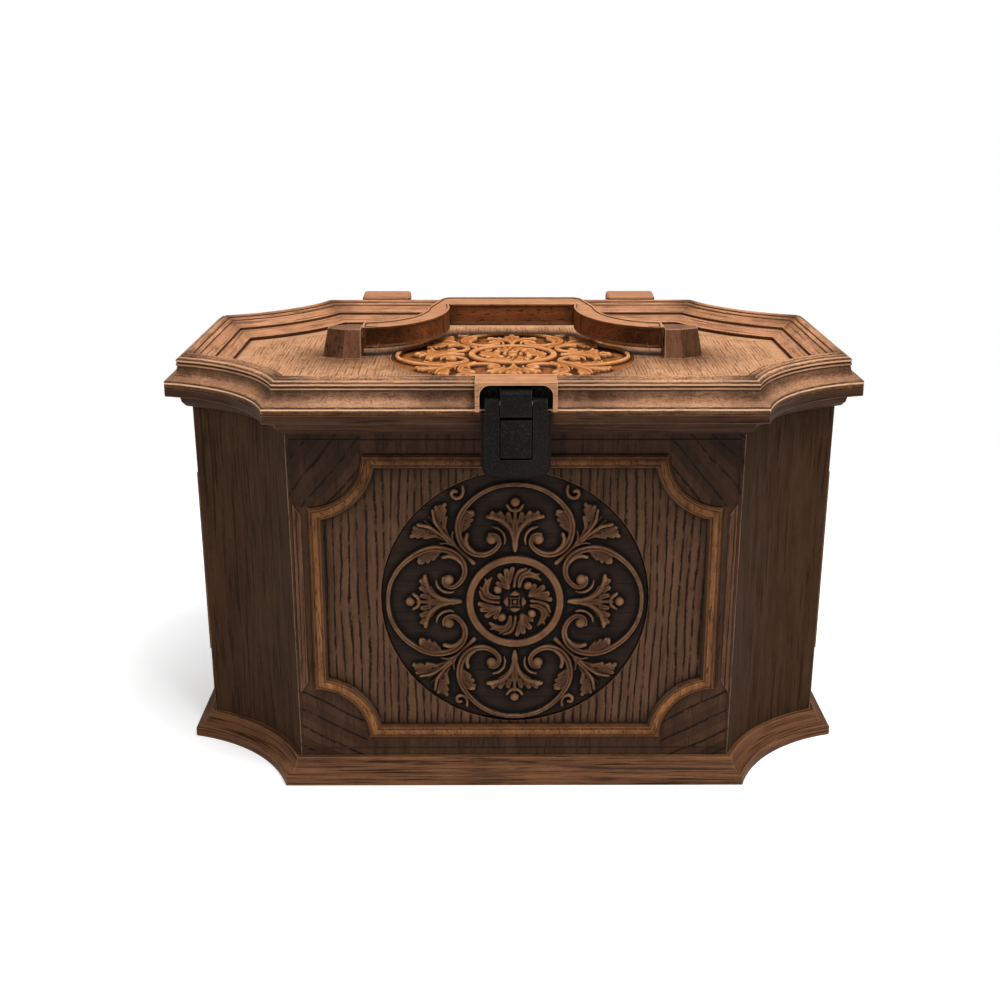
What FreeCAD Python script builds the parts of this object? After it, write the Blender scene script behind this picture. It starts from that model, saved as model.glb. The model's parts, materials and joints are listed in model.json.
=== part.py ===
import FreeCAD
import Part
import Sketcher
import math
import os
import re

doc = FreeCAD.newDocument("sewing_chest")

# Driving sizes in mm and degrees, kept in the spreadsheet
SIZES = {
    # Outline of the lip, which every other plan outline runs parallel to
    "lip_width": 356.0,
    "lip_depth": 243.0,
    "corner_radius": 82.5,
    "corner_reach": 21.5,
    # Flared base moulding with the floor
    "base_offset": 3.8,
    "base_band": 4.6,
    "base_step": 0.7,
    "plinth_top_offset": 10.6,
    "plinth_bead": 1.4,
    "plinth_height": 12.0,
    "floor_thickness": 3.6,
    # Walls and rim of the body
    "wall_offset": 12.0,
    "wall_draft": 1.8,
    "wall_thickness": 4.0,
    "seam_height": 196.0,
    "rim_height": 4.2,
    "rim_slope": 0.8,
    "rim_underside": 6.5,
    "bed_height": 6.6,
    # Raised frames on the four faces
    "frame_width": 202.8,
    "side_frame_width": 89.0,
    "frame_foot_gap": 10.9,
    "frame_head_gap": 10.7,
    "frame_corner": 27.0,
    "frame_band": 6.9,
    "frame_proud": 2.4,
    "frame_slope": 1.0,
    "field_depth": 0.8,
    # Carved medallions
    "medallion_margin": 8.9,
    "medallion_base": 1.0,
    "relief_height": 1.8,
    "ring_outer": 24.8,
    "ring_width": 4.0,
    "boss_radius": 7.9,
    "scroll_radius": 29.4,
    "scroll_width": 2.6,
    "scroll_margin": 1.9,
    "seat_gap": 0.3,
    "front_seat_depth": 2.0,
    "lid_seat_depth": 1.2,
    # Section of the lid, as insets from the lip and rises over its underside
    "lid_gap": 0.3,
    "lip_height": 3.2,
    "lip_groove": 0.8,
    "lip_groove_height": 0.4,
    "cove_inset": 6.3,
    "cove_rise": 10.2,
    "bead_proud": 0.5,
    "bevel_offset": 6.85,
    "bevel_rise": 14.0,
    "crest_offset": 11.2,
    "crest_rise": 16.5,
    "crest_shift": 0.9,
    "land_offset": 15.3,
    "land_rise": 14.1,
    "land_groove": 0.6,
    "step_offset": 20.4,
    "step_rise": 9.5,
    "step_riser": 1.5,
    "edge_step": 0.3,
    "panel_offset": 26.4,
    "panel_rise": 3.4,
    "panel_riser": 1.8,
    "lid_wall": 2.6,
    "lid_panel_thickness": 2.7,
    # Housing for the latch on the front of the lid
    "housing_width": 38.4,
    "housing_reach": 7.6,
    "housing_base": 3.2,
    "housing_top": 17.2,
    "recess_width": 34.2,
    "recess_top": 15.8,
    "recess_corner": 5.0,
    # Blocks that carry the handle
    "block_inner": 82.8,
    "block_face": 10.2,
    "block_length": 21.6,
    "block_depth": 19.5,
    "block_nose": 8.1,
    "block_centre": 1.75,
    "block_height": 15.9,
    "block_slope": 2.0,
    "block_end_slope": 3.4,
    # Bail handle, folded to the back
    "handle_pivot_y": 3.0,
    "handle_pivot_rise": 10.8,
    "handle_tilt": 4.0,
    "handle_thickness": 12.0,
    "handle_end_gap": 0.6,
    "arm_reach": 42.0,
    "arm_radius": 41.0,
    "arm_width": 12.0,
    "grip_front": 48.5,
    "grip_depth": 18.0,
    "grip_inner": 36.5,
    "grip_shoulder": 40.6,
    "grip_chamfer": 2.6,
    "grip_chamfer_run": 3.9,
    "handle_pin_radius": 2.2,
    "handle_pin_depth": 10.0,
    # Hinges behind the back edge
    "hinge_span_left": 77.3,
    "hinge_span_right": 75.0,
    "lug_width": 29.4,
    "lug_front": 10.5,
    "lug_front_rise": 18.2,
    "lug_back_rise": 19.6,
    "lug_round": 3.0,
    "hood_rise": 5.2,
    "hinge_reach": 8.4,
    "hinge_axis": 4.2,
    "knuckle_radius": 3.9,
    "knuckle_width": 13.0,
    "knuckle_gap": 0.4,
    "slot_depth": 6.2,
    "hinge_pin_radius": 1.5,
    "bracket_drop": 20.0,
    "bracket_flange": 7.0,
    "bracket_thickness": 3.2,
    # Latch: arched plate and tab on the lid, flap, button, guide, bolt and keeper
    "latch_reach": 8.4,
    "latch_axis": 4.6,
    "latch_axis_rise": 6.7,
    "latch_knuckle": 3.0,
    "latch_pin_radius": 1.2,
    "arch_width": 28.8,
    "arch_thickness": 1.2,
    "arch_top": 15.3,
    "arch_corner": 4.5,
    "tab_width": 14.6,
    "tab_base": 0.9,
    "tab_top": 14.1,
    "tab_bevel": 2.2,
    "flap_width": 33.2,
    "flap_bevel": 2.0,
    "flap_drop": 29.0,
    "flap_corner": 7.0,
    "flap_back": 2.4,
    "flap_plate": 3.0,
    "flap_rise": 2.6,
    "window_gap": 0.5,
    "button_proud": 0.5,
    "button_top": 0.4,
    "button_bottom": 18.7,
    "button_cap": 5.4,
    "button_travel": 2.2,
    "flange_thickness": 1.4,
    "flange_lap": 1.0,
    "flange_top": 5.4,
    "guide_inset": 1.9,
    "guide_thickness": 1.4,
    "guide_width": 25.6,
    "guide_top": 5.6,
    "guide_drop": 23.4,
    "post_radius": 1.7,
    "post_span": 10.8,
    "stem_width": 6.0,
    "stem_height": 2.0,
    "stem_level": 10.3,
    "spring_wall": 0.4,
    "bolt_width": 12.0,
    "bolt_thickness": 1.5,
    "bolt_top": 7.6,
    "bolt_arm": 2.0,
    "nose_length": 2.4,
    "nose_thickness": 1.4,
    "rail_width": 1.5,
    "keeper_width": 18.0,
    "keeper_plate": 1.5,
    "keeper_lip": 1.6,
    "keeper_shelf": 1.8,
    "keeper_drop": 21.8,
    "keeper_top": 12.0,
    "keeper_screw_spread": 6.0,
    "lip_clear": 0.6,
    # Lift-out tray with its dividers and pegs
    "tray_clearance": 1.2,
    "tray_wall": 2.2,
    "tray_floor": 2.2,
    "tray_height": 42.0,
    "tray_drop": 16.0,
    "ledge_width": 6.0,
    "ledge_height": 4.0,
    "divider_thickness": 2.0,
    "divider_drop": 8.0,
    "divider_span": 55.0,
    "peg_radius": 2.6,
    "peg_height": 26.0,
    "peg_spacing": 50.0,
    "peg_front_spacing": 40.0,
    "peg_row": 30.0,
    "peg_row_gap": 40.0,
    # Clearances and small fasteners
    "running_clearance": 0.06,
    "slide_gap": 0.4,
    "rest_gap": 0.3,
    "screw_radius": 1.0,
    "screw_head": 1.8,
    "screw_head_height": 0.7,
    "guide_screw_radius": 0.7,
    "guide_screw_head": 1.4,
    "guide_screw_head_height": 0.7,
    "wood_screw_radius": 1.5,
    "wood_screw_head": 2.6,
    "wood_screw_head_height": 1.2,
    "screw_bite": 3.0,
    "block_screw_length": 8.0,
    "screw_spread": 9.0,
    "block_screw_spread": 5.0,
}

sheet = doc.addObject("Spreadsheet::Sheet", "sizes")
for row, (alias, value) in enumerate(SIZES.items(), start=1):
    sheet.set("A%d" % row, alias)
    sheet.set("B%d" % row, str(value))
    sheet.setAlias("B%d" % row, alias)
doc.recompute()

# Planes a sketch can lie in: the sketch's own axes turned to the world's
PLANES = {
    "XY": FreeCAD.Rotation(),
    "XZ": FreeCAD.Rotation(FreeCAD.Vector(1, 0, 0), 90),
    "YZ": FreeCAD.Rotation(FreeCAD.Vector(1, 1, 1), 120),
}
AXES = {
    "X": FreeCAD.Rotation(FreeCAD.Vector(0, 1, 0), 90),
    "Y": FreeCAD.Rotation(FreeCAD.Vector(1, 0, 0), -90),
    "-Y": FreeCAD.Rotation(FreeCAD.Vector(1, 0, 0), 90),
    "Z": FreeCAD.Rotation(),
}
SIDES = (("left", "-1"), ("right", "1"))

# How far a boolean tool runs past the face it cuts, and how deep a fused piece is rooted
OVERRUN = "1"
ROOT = "0.5"

# Angles of the middle points of a hollow moulding, and a bead's face and foot as shares of its height
COVE_ANGLES = (30, 60)
BEAD_FACE = ("0.25", "0.75")
BEAD_FOOT = "0.97"
BEADS = 2
PEGS_IN_ROW = 6


def qualify(text):
    """Point each size's alias in an expression at the spreadsheet."""
    return re.sub(r"[a-z_]\w*", lambda m: "sizes." + m.group() if m.group() in SIZES else m.group(), text)


def number(text):
    """Value of an expression, used to draw a sketch close to its solved shape."""
    return float(sheet.evalExpression(qualify(text)))


def bind(item, prop, text):
    """Tie a property of an object to an expression of the sizes."""
    item.setExpression(prop, qualify(text))


def place(item, at, rotation=None):
    """Turn an object and tie its position to three expressions."""
    if rotation is not None:
        item.Placement = FreeCAD.Placement(FreeCAD.Vector(), rotation)
    for axis, text in zip("xyz", at):
        if text != "0":
            bind(item, "Placement.Base." + axis, text)
    return item


def arc_between(start, end, radius, turn):
    """Arc from start to end: turn 1 runs anticlockwise, turn -1 clockwise."""
    chord = end - start
    half = chord.Length / 2
    rise = math.sqrt(max(radius * radius - half * half, 0.0))
    left = FreeCAD.Vector(-chord.y, chord.x, 0).normalize()
    centre = (start + end) * 0.5 + left * (rise * turn)
    first, last = (start, end) if turn > 0 else (end, start)
    angle_a = math.atan2(first.y - centre.y, first.x - centre.x)
    angle_b = math.atan2(last.y - centre.y, last.x - centre.x)
    if angle_b < angle_a:
        angle_b += 2 * math.pi
    circle = Part.Circle(centre, FreeCAD.Vector(0, 0, 1), radius)
    return Part.ArcOfCircle(circle, angle_a, angle_b)


def path(name, corners, plane="XY", at=("0", "0", "0"), rotation=None):
    """Closed sketch through corners (x, y) or (x, y, radius, turn) for an arc to the next corner."""
    sketch = doc.addObject("Sketcher::SketchObject", name)
    place(sketch, at, PLANES[plane] if rotation is None else rotation)
    points = [FreeCAD.Vector(number(c[0]), number(c[1]), 0) for c in corners]
    ends = []
    for index, corner in enumerate(corners):
        start = points[index]
        end = points[(index + 1) % len(points)]
        if len(corner) == 2:
            sketch.addGeometry(Part.LineSegment(start, end))
            ends.append((1, 2))
        else:
            sketch.addGeometry(arc_between(start, end, number(corner[2]), corner[3]))
            ends.append((1, 2) if corner[3] > 0 else (2, 1))
    for index, corner in enumerate(corners):
        after = (index + 1) % len(corners)
        sketch.addConstraint(
            Sketcher.Constraint("Coincident", index, ends[index][1], after, ends[after][0]))
        for kind, text, value in zip(("DistanceX", "DistanceY"), corner, points[index]):
            slot = sketch.addConstraint(
                Sketcher.Constraint(kind, -1, 1, index, ends[index][0], value))
            bind(sketch, "Constraints[%d]" % slot, text)
        if len(corner) == 4:
            slot = sketch.addConstraint(Sketcher.Constraint("Radius", index, number(corner[2])))
            bind(sketch, "Constraints[%d]" % slot, corner[2])
    return sketch


def notched(name, half_a, half_b, arc_a, arc_b, radius, at, rotation):
    """Rectangle whose four corners are hollow arcs centred at (arc_a, arc_b) in each quarter."""
    run_a = "(%s - sqrt((%s) ^ 2 - (%s - (%s)) ^ 2))" % (arc_a, radius, arc_b, half_b)
    run_b = "(%s - sqrt((%s) ^ 2 - (%s - (%s)) ^ 2))" % (arc_b, radius, arc_a, half_a)
    corners = (
        ("-(%s)" % run_a, "-(%s)" % half_b),
        (run_a, "-(%s)" % half_b, radius, -1),
        (half_a, "-(%s)" % run_b),
        (half_a, run_b, radius, -1),
        (run_a, half_b),
        ("-(%s)" % run_a, half_b, radius, -1),
        ("-(%s)" % half_a, run_b),
        ("-(%s)" % half_a, "-(%s)" % run_b, radius, -1),
    )
    return path(name, corners, at=at, rotation=rotation)


def outline(name, inset, level):
    """Plan outline of the chest, parallel to the lip by an inset, at a height."""
    return notched(
        name,
        "(lip_width / 2 - (%s))" % inset,
        "(lip_depth / 2 - (%s))" % inset,
        "(lip_width / 2 + corner_reach)",
        "(lip_depth / 2 + corner_reach)",
        "(corner_radius + (%s))" % inset,
        ("0", "0", level), PLANES["XY"])


def loft(name, sections):
    """Straight-sided loft through closed sketches."""
    item = doc.addObject("Part::Loft", name)
    item.Sections = sections
    item.Solid = True
    item.Ruled = True
    return item


def moulding(name, profile, base="0"):
    """Loft of plan outlines through a profile of (inset, rise) over a base height."""
    sections = [
        outline("%s_%d" % (name, index), inset, "(%s) + (%s)" % (base, rise))
        for index, (inset, rise) in enumerate(profile)
    ]
    return loft(name, sections)


def tapered(name, foot_inset, foot, top_inset, top):
    """Solid with flat tapering sides and hollow conical corners between two plan outlines."""
    wedge = doc.addObject("Part::Wedge", name + "_wedge")
    for prop, size, inset in (("X", "lip_width", foot_inset), ("Z", "lip_depth", foot_inset),
                              ("X2", "lip_width", top_inset), ("Z2", "lip_depth", top_inset)):
        bind(wedge, prop + "min", "-(%s / 2 - (%s))" % (size, inset))
        bind(wedge, prop + "max", "%s / 2 - (%s)" % (size, inset))
    height = "(%s) - (%s)" % (top, foot)
    wedge.Ymin = 0
    bind(wedge, "Ymax", height)
    place(wedge, ("0", "0", foot), PLANES["XZ"])
    corners = []
    for across in ("-1", "1"):
        for along in ("-1", "1"):
            cone = doc.addObject("Part::Cone", "%s_corner_%d" % (name, len(corners)))
            bind(cone, "Radius1", "corner_radius + (%s)" % foot_inset)
            bind(cone, "Radius2", "corner_radius + (%s)" % top_inset)
            bind(cone, "Height", height)
            place(cone, ("%s * (lip_width / 2 + corner_reach)" % across,
                         "%s * (lip_depth / 2 + corner_reach)" % along, foot))
            corners.append(cone)
    return cut(name, wedge, group(name + "_corners", corners))


def cove(start, end):
    """Middle points of a quarter curve, level at its start, between two (inset, rise) points."""
    points = []
    for angle in COVE_ANGLES:
        across = math.sin(math.radians(angle))
        up = 1 - math.cos(math.radians(angle))
        points.append((
            "(%s) + ((%s) - (%s)) * %.4f" % (start[0], end[0], start[0], across),
            "(%s) + ((%s) - (%s)) * %.4f" % (start[1], end[1], start[1], up)))
    return points


def extrude(name, sketch, length, symmetric=False):
    """Solid pushed out of a sketch along its normal."""
    item = doc.addObject("Part::Extrusion", name)
    item.Base = sketch
    item.DirMode = "Normal"
    item.Solid = True
    item.Symmetric = symmetric
    bind(item, "LengthFwd", length)
    return item


def box(name, low, high):
    """Block between two corners, each given as three expressions."""
    item = doc.addObject("Part::Box", name)
    for prop, bottom, top in zip(("Length", "Width", "Height"), low, high):
        bind(item, prop, "(%s) - (%s)" % (top, bottom))
    return place(item, low)


def wide_box(name, width, low_yz, high_yz, centre="0"):
    """Block centred across X on a position, between two corners in Y and Z."""
    low = ("(%s) - (%s) / 2" % (centre, width),) + low_yz
    high = ("(%s) + (%s) / 2" % (centre, width),) + high_yz
    return box(name, low, high)


def rod(name, radius, length, at, axis):
    """Cylinder from a point along an axis."""
    item = doc.addObject("Part::Cylinder", name)
    bind(item, "Radius", radius)
    bind(item, "Height", length)
    return place(item, at, AXES[axis])


def tube(name, outer, inner, length, at, axis):
    """Plain sleeve along an axis."""
    return cut(name, rod(name + "_outer", outer, length, at, axis),
               rod(name + "_inner", inner, length, at, axis))


def cut(name, base, tool):
    """One shape taken out of another."""
    item = doc.addObject("Part::Cut", name)
    item.Base = base
    item.Tool = tool
    return item


def fuse(name, shapes):
    """Several shapes joined into one solid."""
    item = doc.addObject("Part::MultiFuse", name)
    item.Shapes = shapes
    item.Refine = False
    return item


def group(name, shapes):
    """Several separate solids kept as one node."""
    item = doc.addObject("Part::Compound", name)
    item.Links = shapes
    return item


def screw(name, at, axis, length, radius, head, head_height):
    """Screw whose head starts at a point and whose shank follows along the axis."""
    return fuse(name, [rod(name + "_head", head, head_height, at, axis),
                       rod(name + "_shank", radius, length, at, axis)])


# Levels and planes that several pieces share
LIP_Y = "(lip_depth / 2)"
WALL_Y = "(lip_depth / 2 - wall_offset)"
WALL_TOP = "(seam_height - rim_height - rim_slope - bed_height)"
WALL_HEIGHT = "(%s - plinth_height)" % WALL_TOP
FRAME_LENGTH = "(%s - frame_foot_gap - frame_head_gap)" % WALL_HEIGHT
FRAME_CENTRE = "(plinth_height + frame_foot_gap + %s / 2)" % FRAME_LENGTH
FACE_INSET = "(wall_offset + wall_draft * (%s - %s) / %s)" % (WALL_TOP, FRAME_CENTRE, WALL_HEIGHT)
MEDALLION_RADIUS = "(%s / 2 - medallion_margin)" % FRAME_LENGTH
SCROLL_REACH = "(%s - scroll_radius - scroll_margin)" % MEDALLION_RADIUS
FACE_X = "(lip_width / 2 - %s)" % FACE_INSET
FACE_Y = "(lip_depth / 2 - %s)" % FACE_INSET
CAVITY_INSET = "(wall_offset + wall_thickness)"
CAVITY_FOOT = "(wall_offset + wall_thickness + wall_draft)"
CAVITY_X = "(lip_width / 2 - wall_offset - wall_thickness)"
LID_Z = "(seam_height + lid_gap)"
PANEL_Z = "(seam_height + lid_gap + panel_rise)"
HINGE_Y = "(lip_depth / 2 + hinge_axis)"
HINGE_Z = "(seam_height + lid_gap / 2)"
PIVOT_Z = "(seam_height + lid_gap + panel_rise + handle_pivot_rise)"
nodes = {}


def build_base():
    """Flared base moulding closed by the floor."""
    foot = ("base_offset + base_step", "base_band + base_step")
    top = ("plinth_top_offset", "plinth_height - plinth_bead")
    profile = [("base_offset", "0"), ("base_offset", "base_band"), foot]
    profile += cove(foot, top)
    profile += [top, ("plinth_top_offset + base_step", "plinth_height")]
    solid = moulding("plinth_solid", profile)
    well = extrude("plinth_well", outline("plinth_well_outline", CAVITY_FOOT, "floor_thickness"),
                   "plinth_height")
    nodes["base_plinth"] = cut("base_plinth_cut", solid, well)


def lean(normal, plane):
    """Turn of a face out of the upright, so that it follows the draft of its wall."""
    angle = number("atan(wall_draft / %s)" % WALL_HEIGHT)
    axis = FreeCAD.Vector(1, 0, 0) if plane == "XZ" else FreeCAD.Vector(0, 1, 0)
    turn = -float(normal) if plane == "XZ" else float(normal)
    return FreeCAD.Rotation(axis, angle * turn)


def face_outline(name, half_a, inset, plane, normal, level):
    """Outline of a face's frame, inset from its outer edge, at a level out of the wall."""
    half_b = "(%s / 2)" % FRAME_LENGTH
    wall = FACE_Y if plane == "XZ" else FACE_X
    out = "%s * ((%s) + (%s))" % (normal, wall, level)
    at = ("0", out, FRAME_CENTRE) if plane == "XZ" else (out, "0", FRAME_CENTRE)
    return notched(name, "(%s - (%s))" % (half_a, inset), "(%s - (%s))" % (half_b, inset), half_a, half_b,
                   "(frame_corner + (%s))" % inset, at, lean(normal, plane) * PLANES[plane])


def build_face(name, half_a, plane, normal):
    """Raised frame of one face, and the tool that opens it down to the sunk field."""
    outer = [("0", "-" + ROOT), ("0", "frame_proud / 2"), ("frame_slope", "frame_proud")]
    inner = [("frame_band", "-field_depth"), ("frame_band", "0"),
             ("frame_band - frame_slope", "frame_proud"),
             ("frame_band - frame_slope", "frame_proud + " + OVERRUN)]
    solids = []
    for part, profile in (("raised", outer), ("field", inner)):
        sections = [
            face_outline("%s_%s_%d" % (name, part, index), half_a, inset, plane, normal, level)
            for index, (inset, level) in enumerate(profile)
        ]
        solids.append(loft("%s_%s" % (name, part), sections))
    return solids


def build_body(screws):
    """Walls, rim and framed faces of the body, with ledges for the tray and holes for screws."""
    under = ("rim_underside", "seam_height - rim_height - rim_slope")
    foot = ("wall_offset", WALL_TOP)
    profile = [foot] + cove(foot, under)
    profile += [under, ("0", "seam_height - rim_height"), ("0", "seam_height")]
    rim = moulding("rim_solid", profile)
    rim_well = extrude("rim_well", outline("rim_well_outline", CAVITY_INSET, WALL_TOP),
                       "seam_height - %s + %s" % (WALL_TOP, OVERRUN))
    walls = cut("walls_hollow",
                tapered("walls", "wall_offset + wall_draft", "plinth_height", "wall_offset", WALL_TOP),
                tapered("walls_well", CAVITY_FOOT, "plinth_height", CAVITY_INSET, WALL_TOP))
    raised = []
    fields = []
    for name, half_a, plane, normal in (
            ("front", "(frame_width / 2)", "XZ", "-1"), ("back", "(frame_width / 2)", "XZ", "1"),
            ("left", "(side_frame_width / 2)", "YZ", "-1"), ("right", "(side_frame_width / 2)", "YZ", "1")):
        frame, field = build_face(name, half_a, plane, normal)
        raised.append(frame)
        fields.append(field)
    ledge_top = "(seam_height - tray_drop - tray_height - rest_gap)"
    ledges = []
    for side, sign in SIDES:
        ledges.append(wide_box(
            "ledge_" + side, "(ledge_width + %s)" % ROOT,
            ("-side_frame_width / 2", ledge_top + " - ledge_height"), ("side_frame_width / 2", ledge_top),
            "%s * (%s - (ledge_width - %s) / 2)" % (sign, CAVITY_X, ROOT)))
    framed = fuse("body_framed", [walls, cut("rim_hollow", rim, rim_well)] + raised + ledges)
    seat = rod("front_seat", MEDALLION_RADIUS + " + seat_gap", "front_seat_depth + field_depth + " + OVERRUN,
               ("0", "-(%s - field_depth - front_seat_depth)" % FACE_Y, FRAME_CENTRE), "-Y")
    place(seat, (), lean("-1", "XZ") * AXES["-Y"])
    return cut("body_faced", framed, fuse("body_fields", fields + [seat] + screws))


def medallion(name, at, rotation):
    """Carved disc: ground, central ring and boss, and four open scrolls."""
    disc = rod(name + "_disc", MEDALLION_RADIUS, "medallion_base", ("0", "0", "0"), "Z")
    height = "medallion_base + relief_height"
    ring = tube(name + "_ring", "ring_outer", "ring_outer - ring_width", height, ("0", "0", "0"), "Z")
    boss = rod(name + "_boss", "boss_radius", height, ("0", "0", "0"), "Z")
    scrolls = []
    for index, (east, north) in enumerate((("1", "0"), ("0", "1"), ("-1", "0"), ("0", "-1"))):
        centre = ("%s * %s" % (east, SCROLL_REACH), "%s * %s" % (north, SCROLL_REACH), "0")
        scrolls.append(tube("%s_scroll_%d" % (name, index), "scroll_radius", "scroll_radius - scroll_width",
                            height, centre, "Z"))
    middle = rod(name + "_middle", "ring_outer + scroll_width", height, ("0", "0", "0"), "Z")
    open_scrolls = cut(name + "_scrolls", fuse(name + "_rings", scrolls), middle)
    return place(fuse(name + "_carved", [disc, ring, boss, open_scrolls]), at, rotation)


def build_lid():
    """Dished lid shell with the latch housing, before its screw holes."""
    groove = ("lip_groove", "lip_height + lip_groove_height")
    neck = ("cove_inset", "cove_rise")
    bead = "(bevel_rise - cove_rise) / %d" % BEADS
    profile = [("0", "0"), ("0", "lip_height"), groove] + cove(groove, neck) + [neck]
    for count in range(BEADS):
        for share in BEAD_FACE:
            profile.append(("cove_inset - bead_proud", "cove_rise + %s * (%d + %s)" % (bead, count, share)))
        profile.append(("cove_inset", "cove_rise + %s * (%d + %s)" % (bead, count, BEAD_FOOT)))
    profile += [
        ("bevel_offset", "bevel_rise + edge_step"),
        ("crest_offset", "crest_rise"),
        ("land_offset", "land_rise"),
        ("land_offset + edge_step", "land_rise - land_groove"),
        ("step_offset", "step_rise + step_riser / 2"),
        ("step_offset + edge_step", "step_rise - step_riser / 2"),
        ("panel_offset", "panel_rise + panel_riser"),
        ("panel_offset + edge_step", "panel_rise"),
    ]
    outside = moulding("lid_outside", profile, LID_Z)
    inside = moulding("lid_inside", [
        ("bevel_offset + lid_wall", "-" + OVERRUN),
        ("bevel_offset + lid_wall", "bevel_rise - lid_wall"),
        ("crest_offset + crest_shift", "crest_rise - lid_wall"),
        ("land_offset", "land_rise - lid_wall"),
        ("step_offset", "step_rise - lid_wall"),
        ("panel_offset", "panel_rise - lid_panel_thickness"),
    ], LID_Z)
    front = "-(%s + housing_reach)" % LIP_Y
    housing = wide_box("housing", "housing_width", (front, LID_Z + " + housing_base"),
                       ("-(%s - crest_offset)" % LIP_Y, LID_Z + " + housing_top"))
    mouth_low = (front + " - " + OVERRUN, LID_Z + " + housing_base - " + OVERRUN)
    lower = wide_box("recess_lower", "recess_width", mouth_low,
                     ("-" + LIP_Y, LID_Z + " + recess_top - recess_corner"))
    upper = wide_box("recess_upper", "(recess_width - 2 * recess_corner)", mouth_low,
                     ("-" + LIP_Y, LID_Z + " + recess_top"))
    corners = [
        rod("recess_corner_" + side, "recess_corner", "housing_reach + " + OVERRUN,
            ("%s * (recess_width / 2 - recess_corner)" % sign, front + " - " + OVERRUN,
             LID_Z + " + recess_top - recess_corner"), "Y")
        for side, sign in SIDES
    ]
    seat = rod("lid_seat", MEDALLION_RADIUS + " + seat_gap", "lid_seat_depth + " + OVERRUN,
               ("0", "0", PANEL_Z + " - lid_seat_depth"), "Z")
    solid = fuse("lid_solid", [outside, housing])
    tools = fuse("lid_tools", [inside, lower, upper] + corners + [seat])
    return outside, cut("lid_faced", solid, tools)


def screw_pair(name, centre, spread, at_yz, axis, length, kind):
    """Two like screws side by side across X, kind being the alias stem of their sizes."""
    return [
        screw("%s_%d" % (name, index), ("(%s) + (%s) * (%s)" % (centre, step, spread),) + at_yz, axis, length,
              kind + "_radius", kind + "_head", kind + "_head_height")
        for index, step in enumerate(("-1", "1"))
    ]


def block_screws(side, sign):
    """Two screws that come up through the lid's panel into a handle block."""
    low = PANEL_Z + " - lid_panel_thickness"
    across = "%s * (block_inner + block_face)" % sign
    return [
        screw("block_screw_%s_%d" % (side, index),
              (across, "block_centre + (%s) * block_screw_spread" % step, low), "Z",
              "lid_panel_thickness + block_screw_length", "wood_screw_radius",
              "wood_screw_head", "wood_screw_head_height")
        for index, step in enumerate(("-1", "1"))
    ]


def handle_block(side, sign):
    """Six-sided block narrowing to its outer end and to its top."""
    levels = (
        (PANEL_Z, "0", "0"),
        (PANEL_Z + " + block_height", "block_slope", "block_end_slope"),
    )
    sections = []
    for index, (level, slope, end_slope) in enumerate(levels):
        inner = "%s * block_inner" % sign
        face = "%s * (block_inner + block_face - (%s))" % (sign, slope)
        tip = "%s * (block_inner + block_length - (%s))" % (sign, end_slope)
        deep = "(block_depth / 2 - (%s))" % slope
        nose = "(block_nose / 2 - (%s) / 2)" % slope
        corners = (
            (inner, "block_centre - " + deep), (face, "block_centre - " + deep),
            (tip, "block_centre - " + nose), (tip, "block_centre + " + nose),
            (face, "block_centre + " + deep), (inner, "block_centre + " + deep),
        )
        sections.append(path("block_%s_%d" % (side, index), corners, "XY", ("0", "0", level)))
    return loft("block_solid_" + side, sections)


def build_handle():
    """Bail handle: two curved arms and a straight grip, with bores for its pins."""
    end = "(block_inner - handle_end_gap)"
    wide = "(arm_radius + arm_width / 2)"
    tight = "(arm_radius - arm_width / 2)"
    wide_end = "(arm_reach - sqrt(%s ^ 2 - handle_end_gap ^ 2))" % wide
    tight_end = "(arm_reach - sqrt(%s ^ 2 - handle_end_gap ^ 2))" % tight
    rear = "(grip_front + grip_depth)"
    corners = (
        (end, wide_end),
        (end, tight_end, tight, -1),
        ("block_inner - " + tight, "arm_reach"),
        ("grip_shoulder", rear + " - grip_chamfer"),
        ("grip_shoulder - grip_chamfer_run", rear),
        ("-(grip_shoulder - grip_chamfer_run)", rear),
        ("-grip_shoulder", rear + " - grip_chamfer"),
        ("-(block_inner - %s)" % tight, "arm_reach", tight, -1),
        ("-" + end, tight_end),
        ("-" + end, wide_end, wide, 1),
        ("-(block_inner - %s)" % wide, "arm_reach"),
        ("-grip_inner", "grip_front"),
        ("grip_inner", "grip_front"),
        ("block_inner - " + wide, "arm_reach", wide, 1),
    )
    tilt = FreeCAD.Rotation(FreeCAD.Vector(1, 0, 0), number("handle_tilt"))
    sketch = path("handle_outline", corners, "XY", ("0", "handle_pivot_y", PIVOT_Z), tilt)
    bind(sketch, "Placement.Rotation.Angle", "handle_tilt * 1deg")
    bail = extrude("handle_solid", sketch, "handle_thickness", True)
    bores = []
    screws = []
    length = "2 * handle_pin_depth"
    for side, sign in SIDES:
        origin = "%s * block_inner - handle_pin_depth" % sign
        at = (origin, "handle_pivot_y", PIVOT_Z)
        pin = rod("handle_pin_solid_" + side, "handle_pin_radius", length, at, "X")
        pair = block_screws(side, sign)
        screws += pair
        bores.append(rod("handle_bore_" + side, "handle_pin_radius + running_clearance",
                         length + " + slide_gap * 2", ("(%s) - slide_gap" % origin,) + at[1:], "X"))
        nodes["handle_pin_" + side] = pin
        nodes["handle_block_" + side] = cut(
            "handle_block_cut_" + side, handle_block(side, sign),
            fuse("block_holes_" + side, [pin] + pair))
    nodes["handle_block_screws"] = group("handle_block_screw_group", screws)
    nodes["carry_handle"] = cut("handle_cut", bail, fuse("handle_bores", bores))


def hinge_base_screws():
    """Two screws through the flange of each hinge bracket, kept by side."""
    return {
        side: screw_pair("base_screw_" + side, "%s * hinge_span_%s" % (sign, side), "screw_spread",
                         (WALL_Y + " + bracket_thickness",
                          "seam_height - bracket_drop + bracket_flange / 2"), "-Y",
                         "bracket_thickness + screw_bite", "wood_screw")
        for side, sign in SIDES
    }


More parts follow.
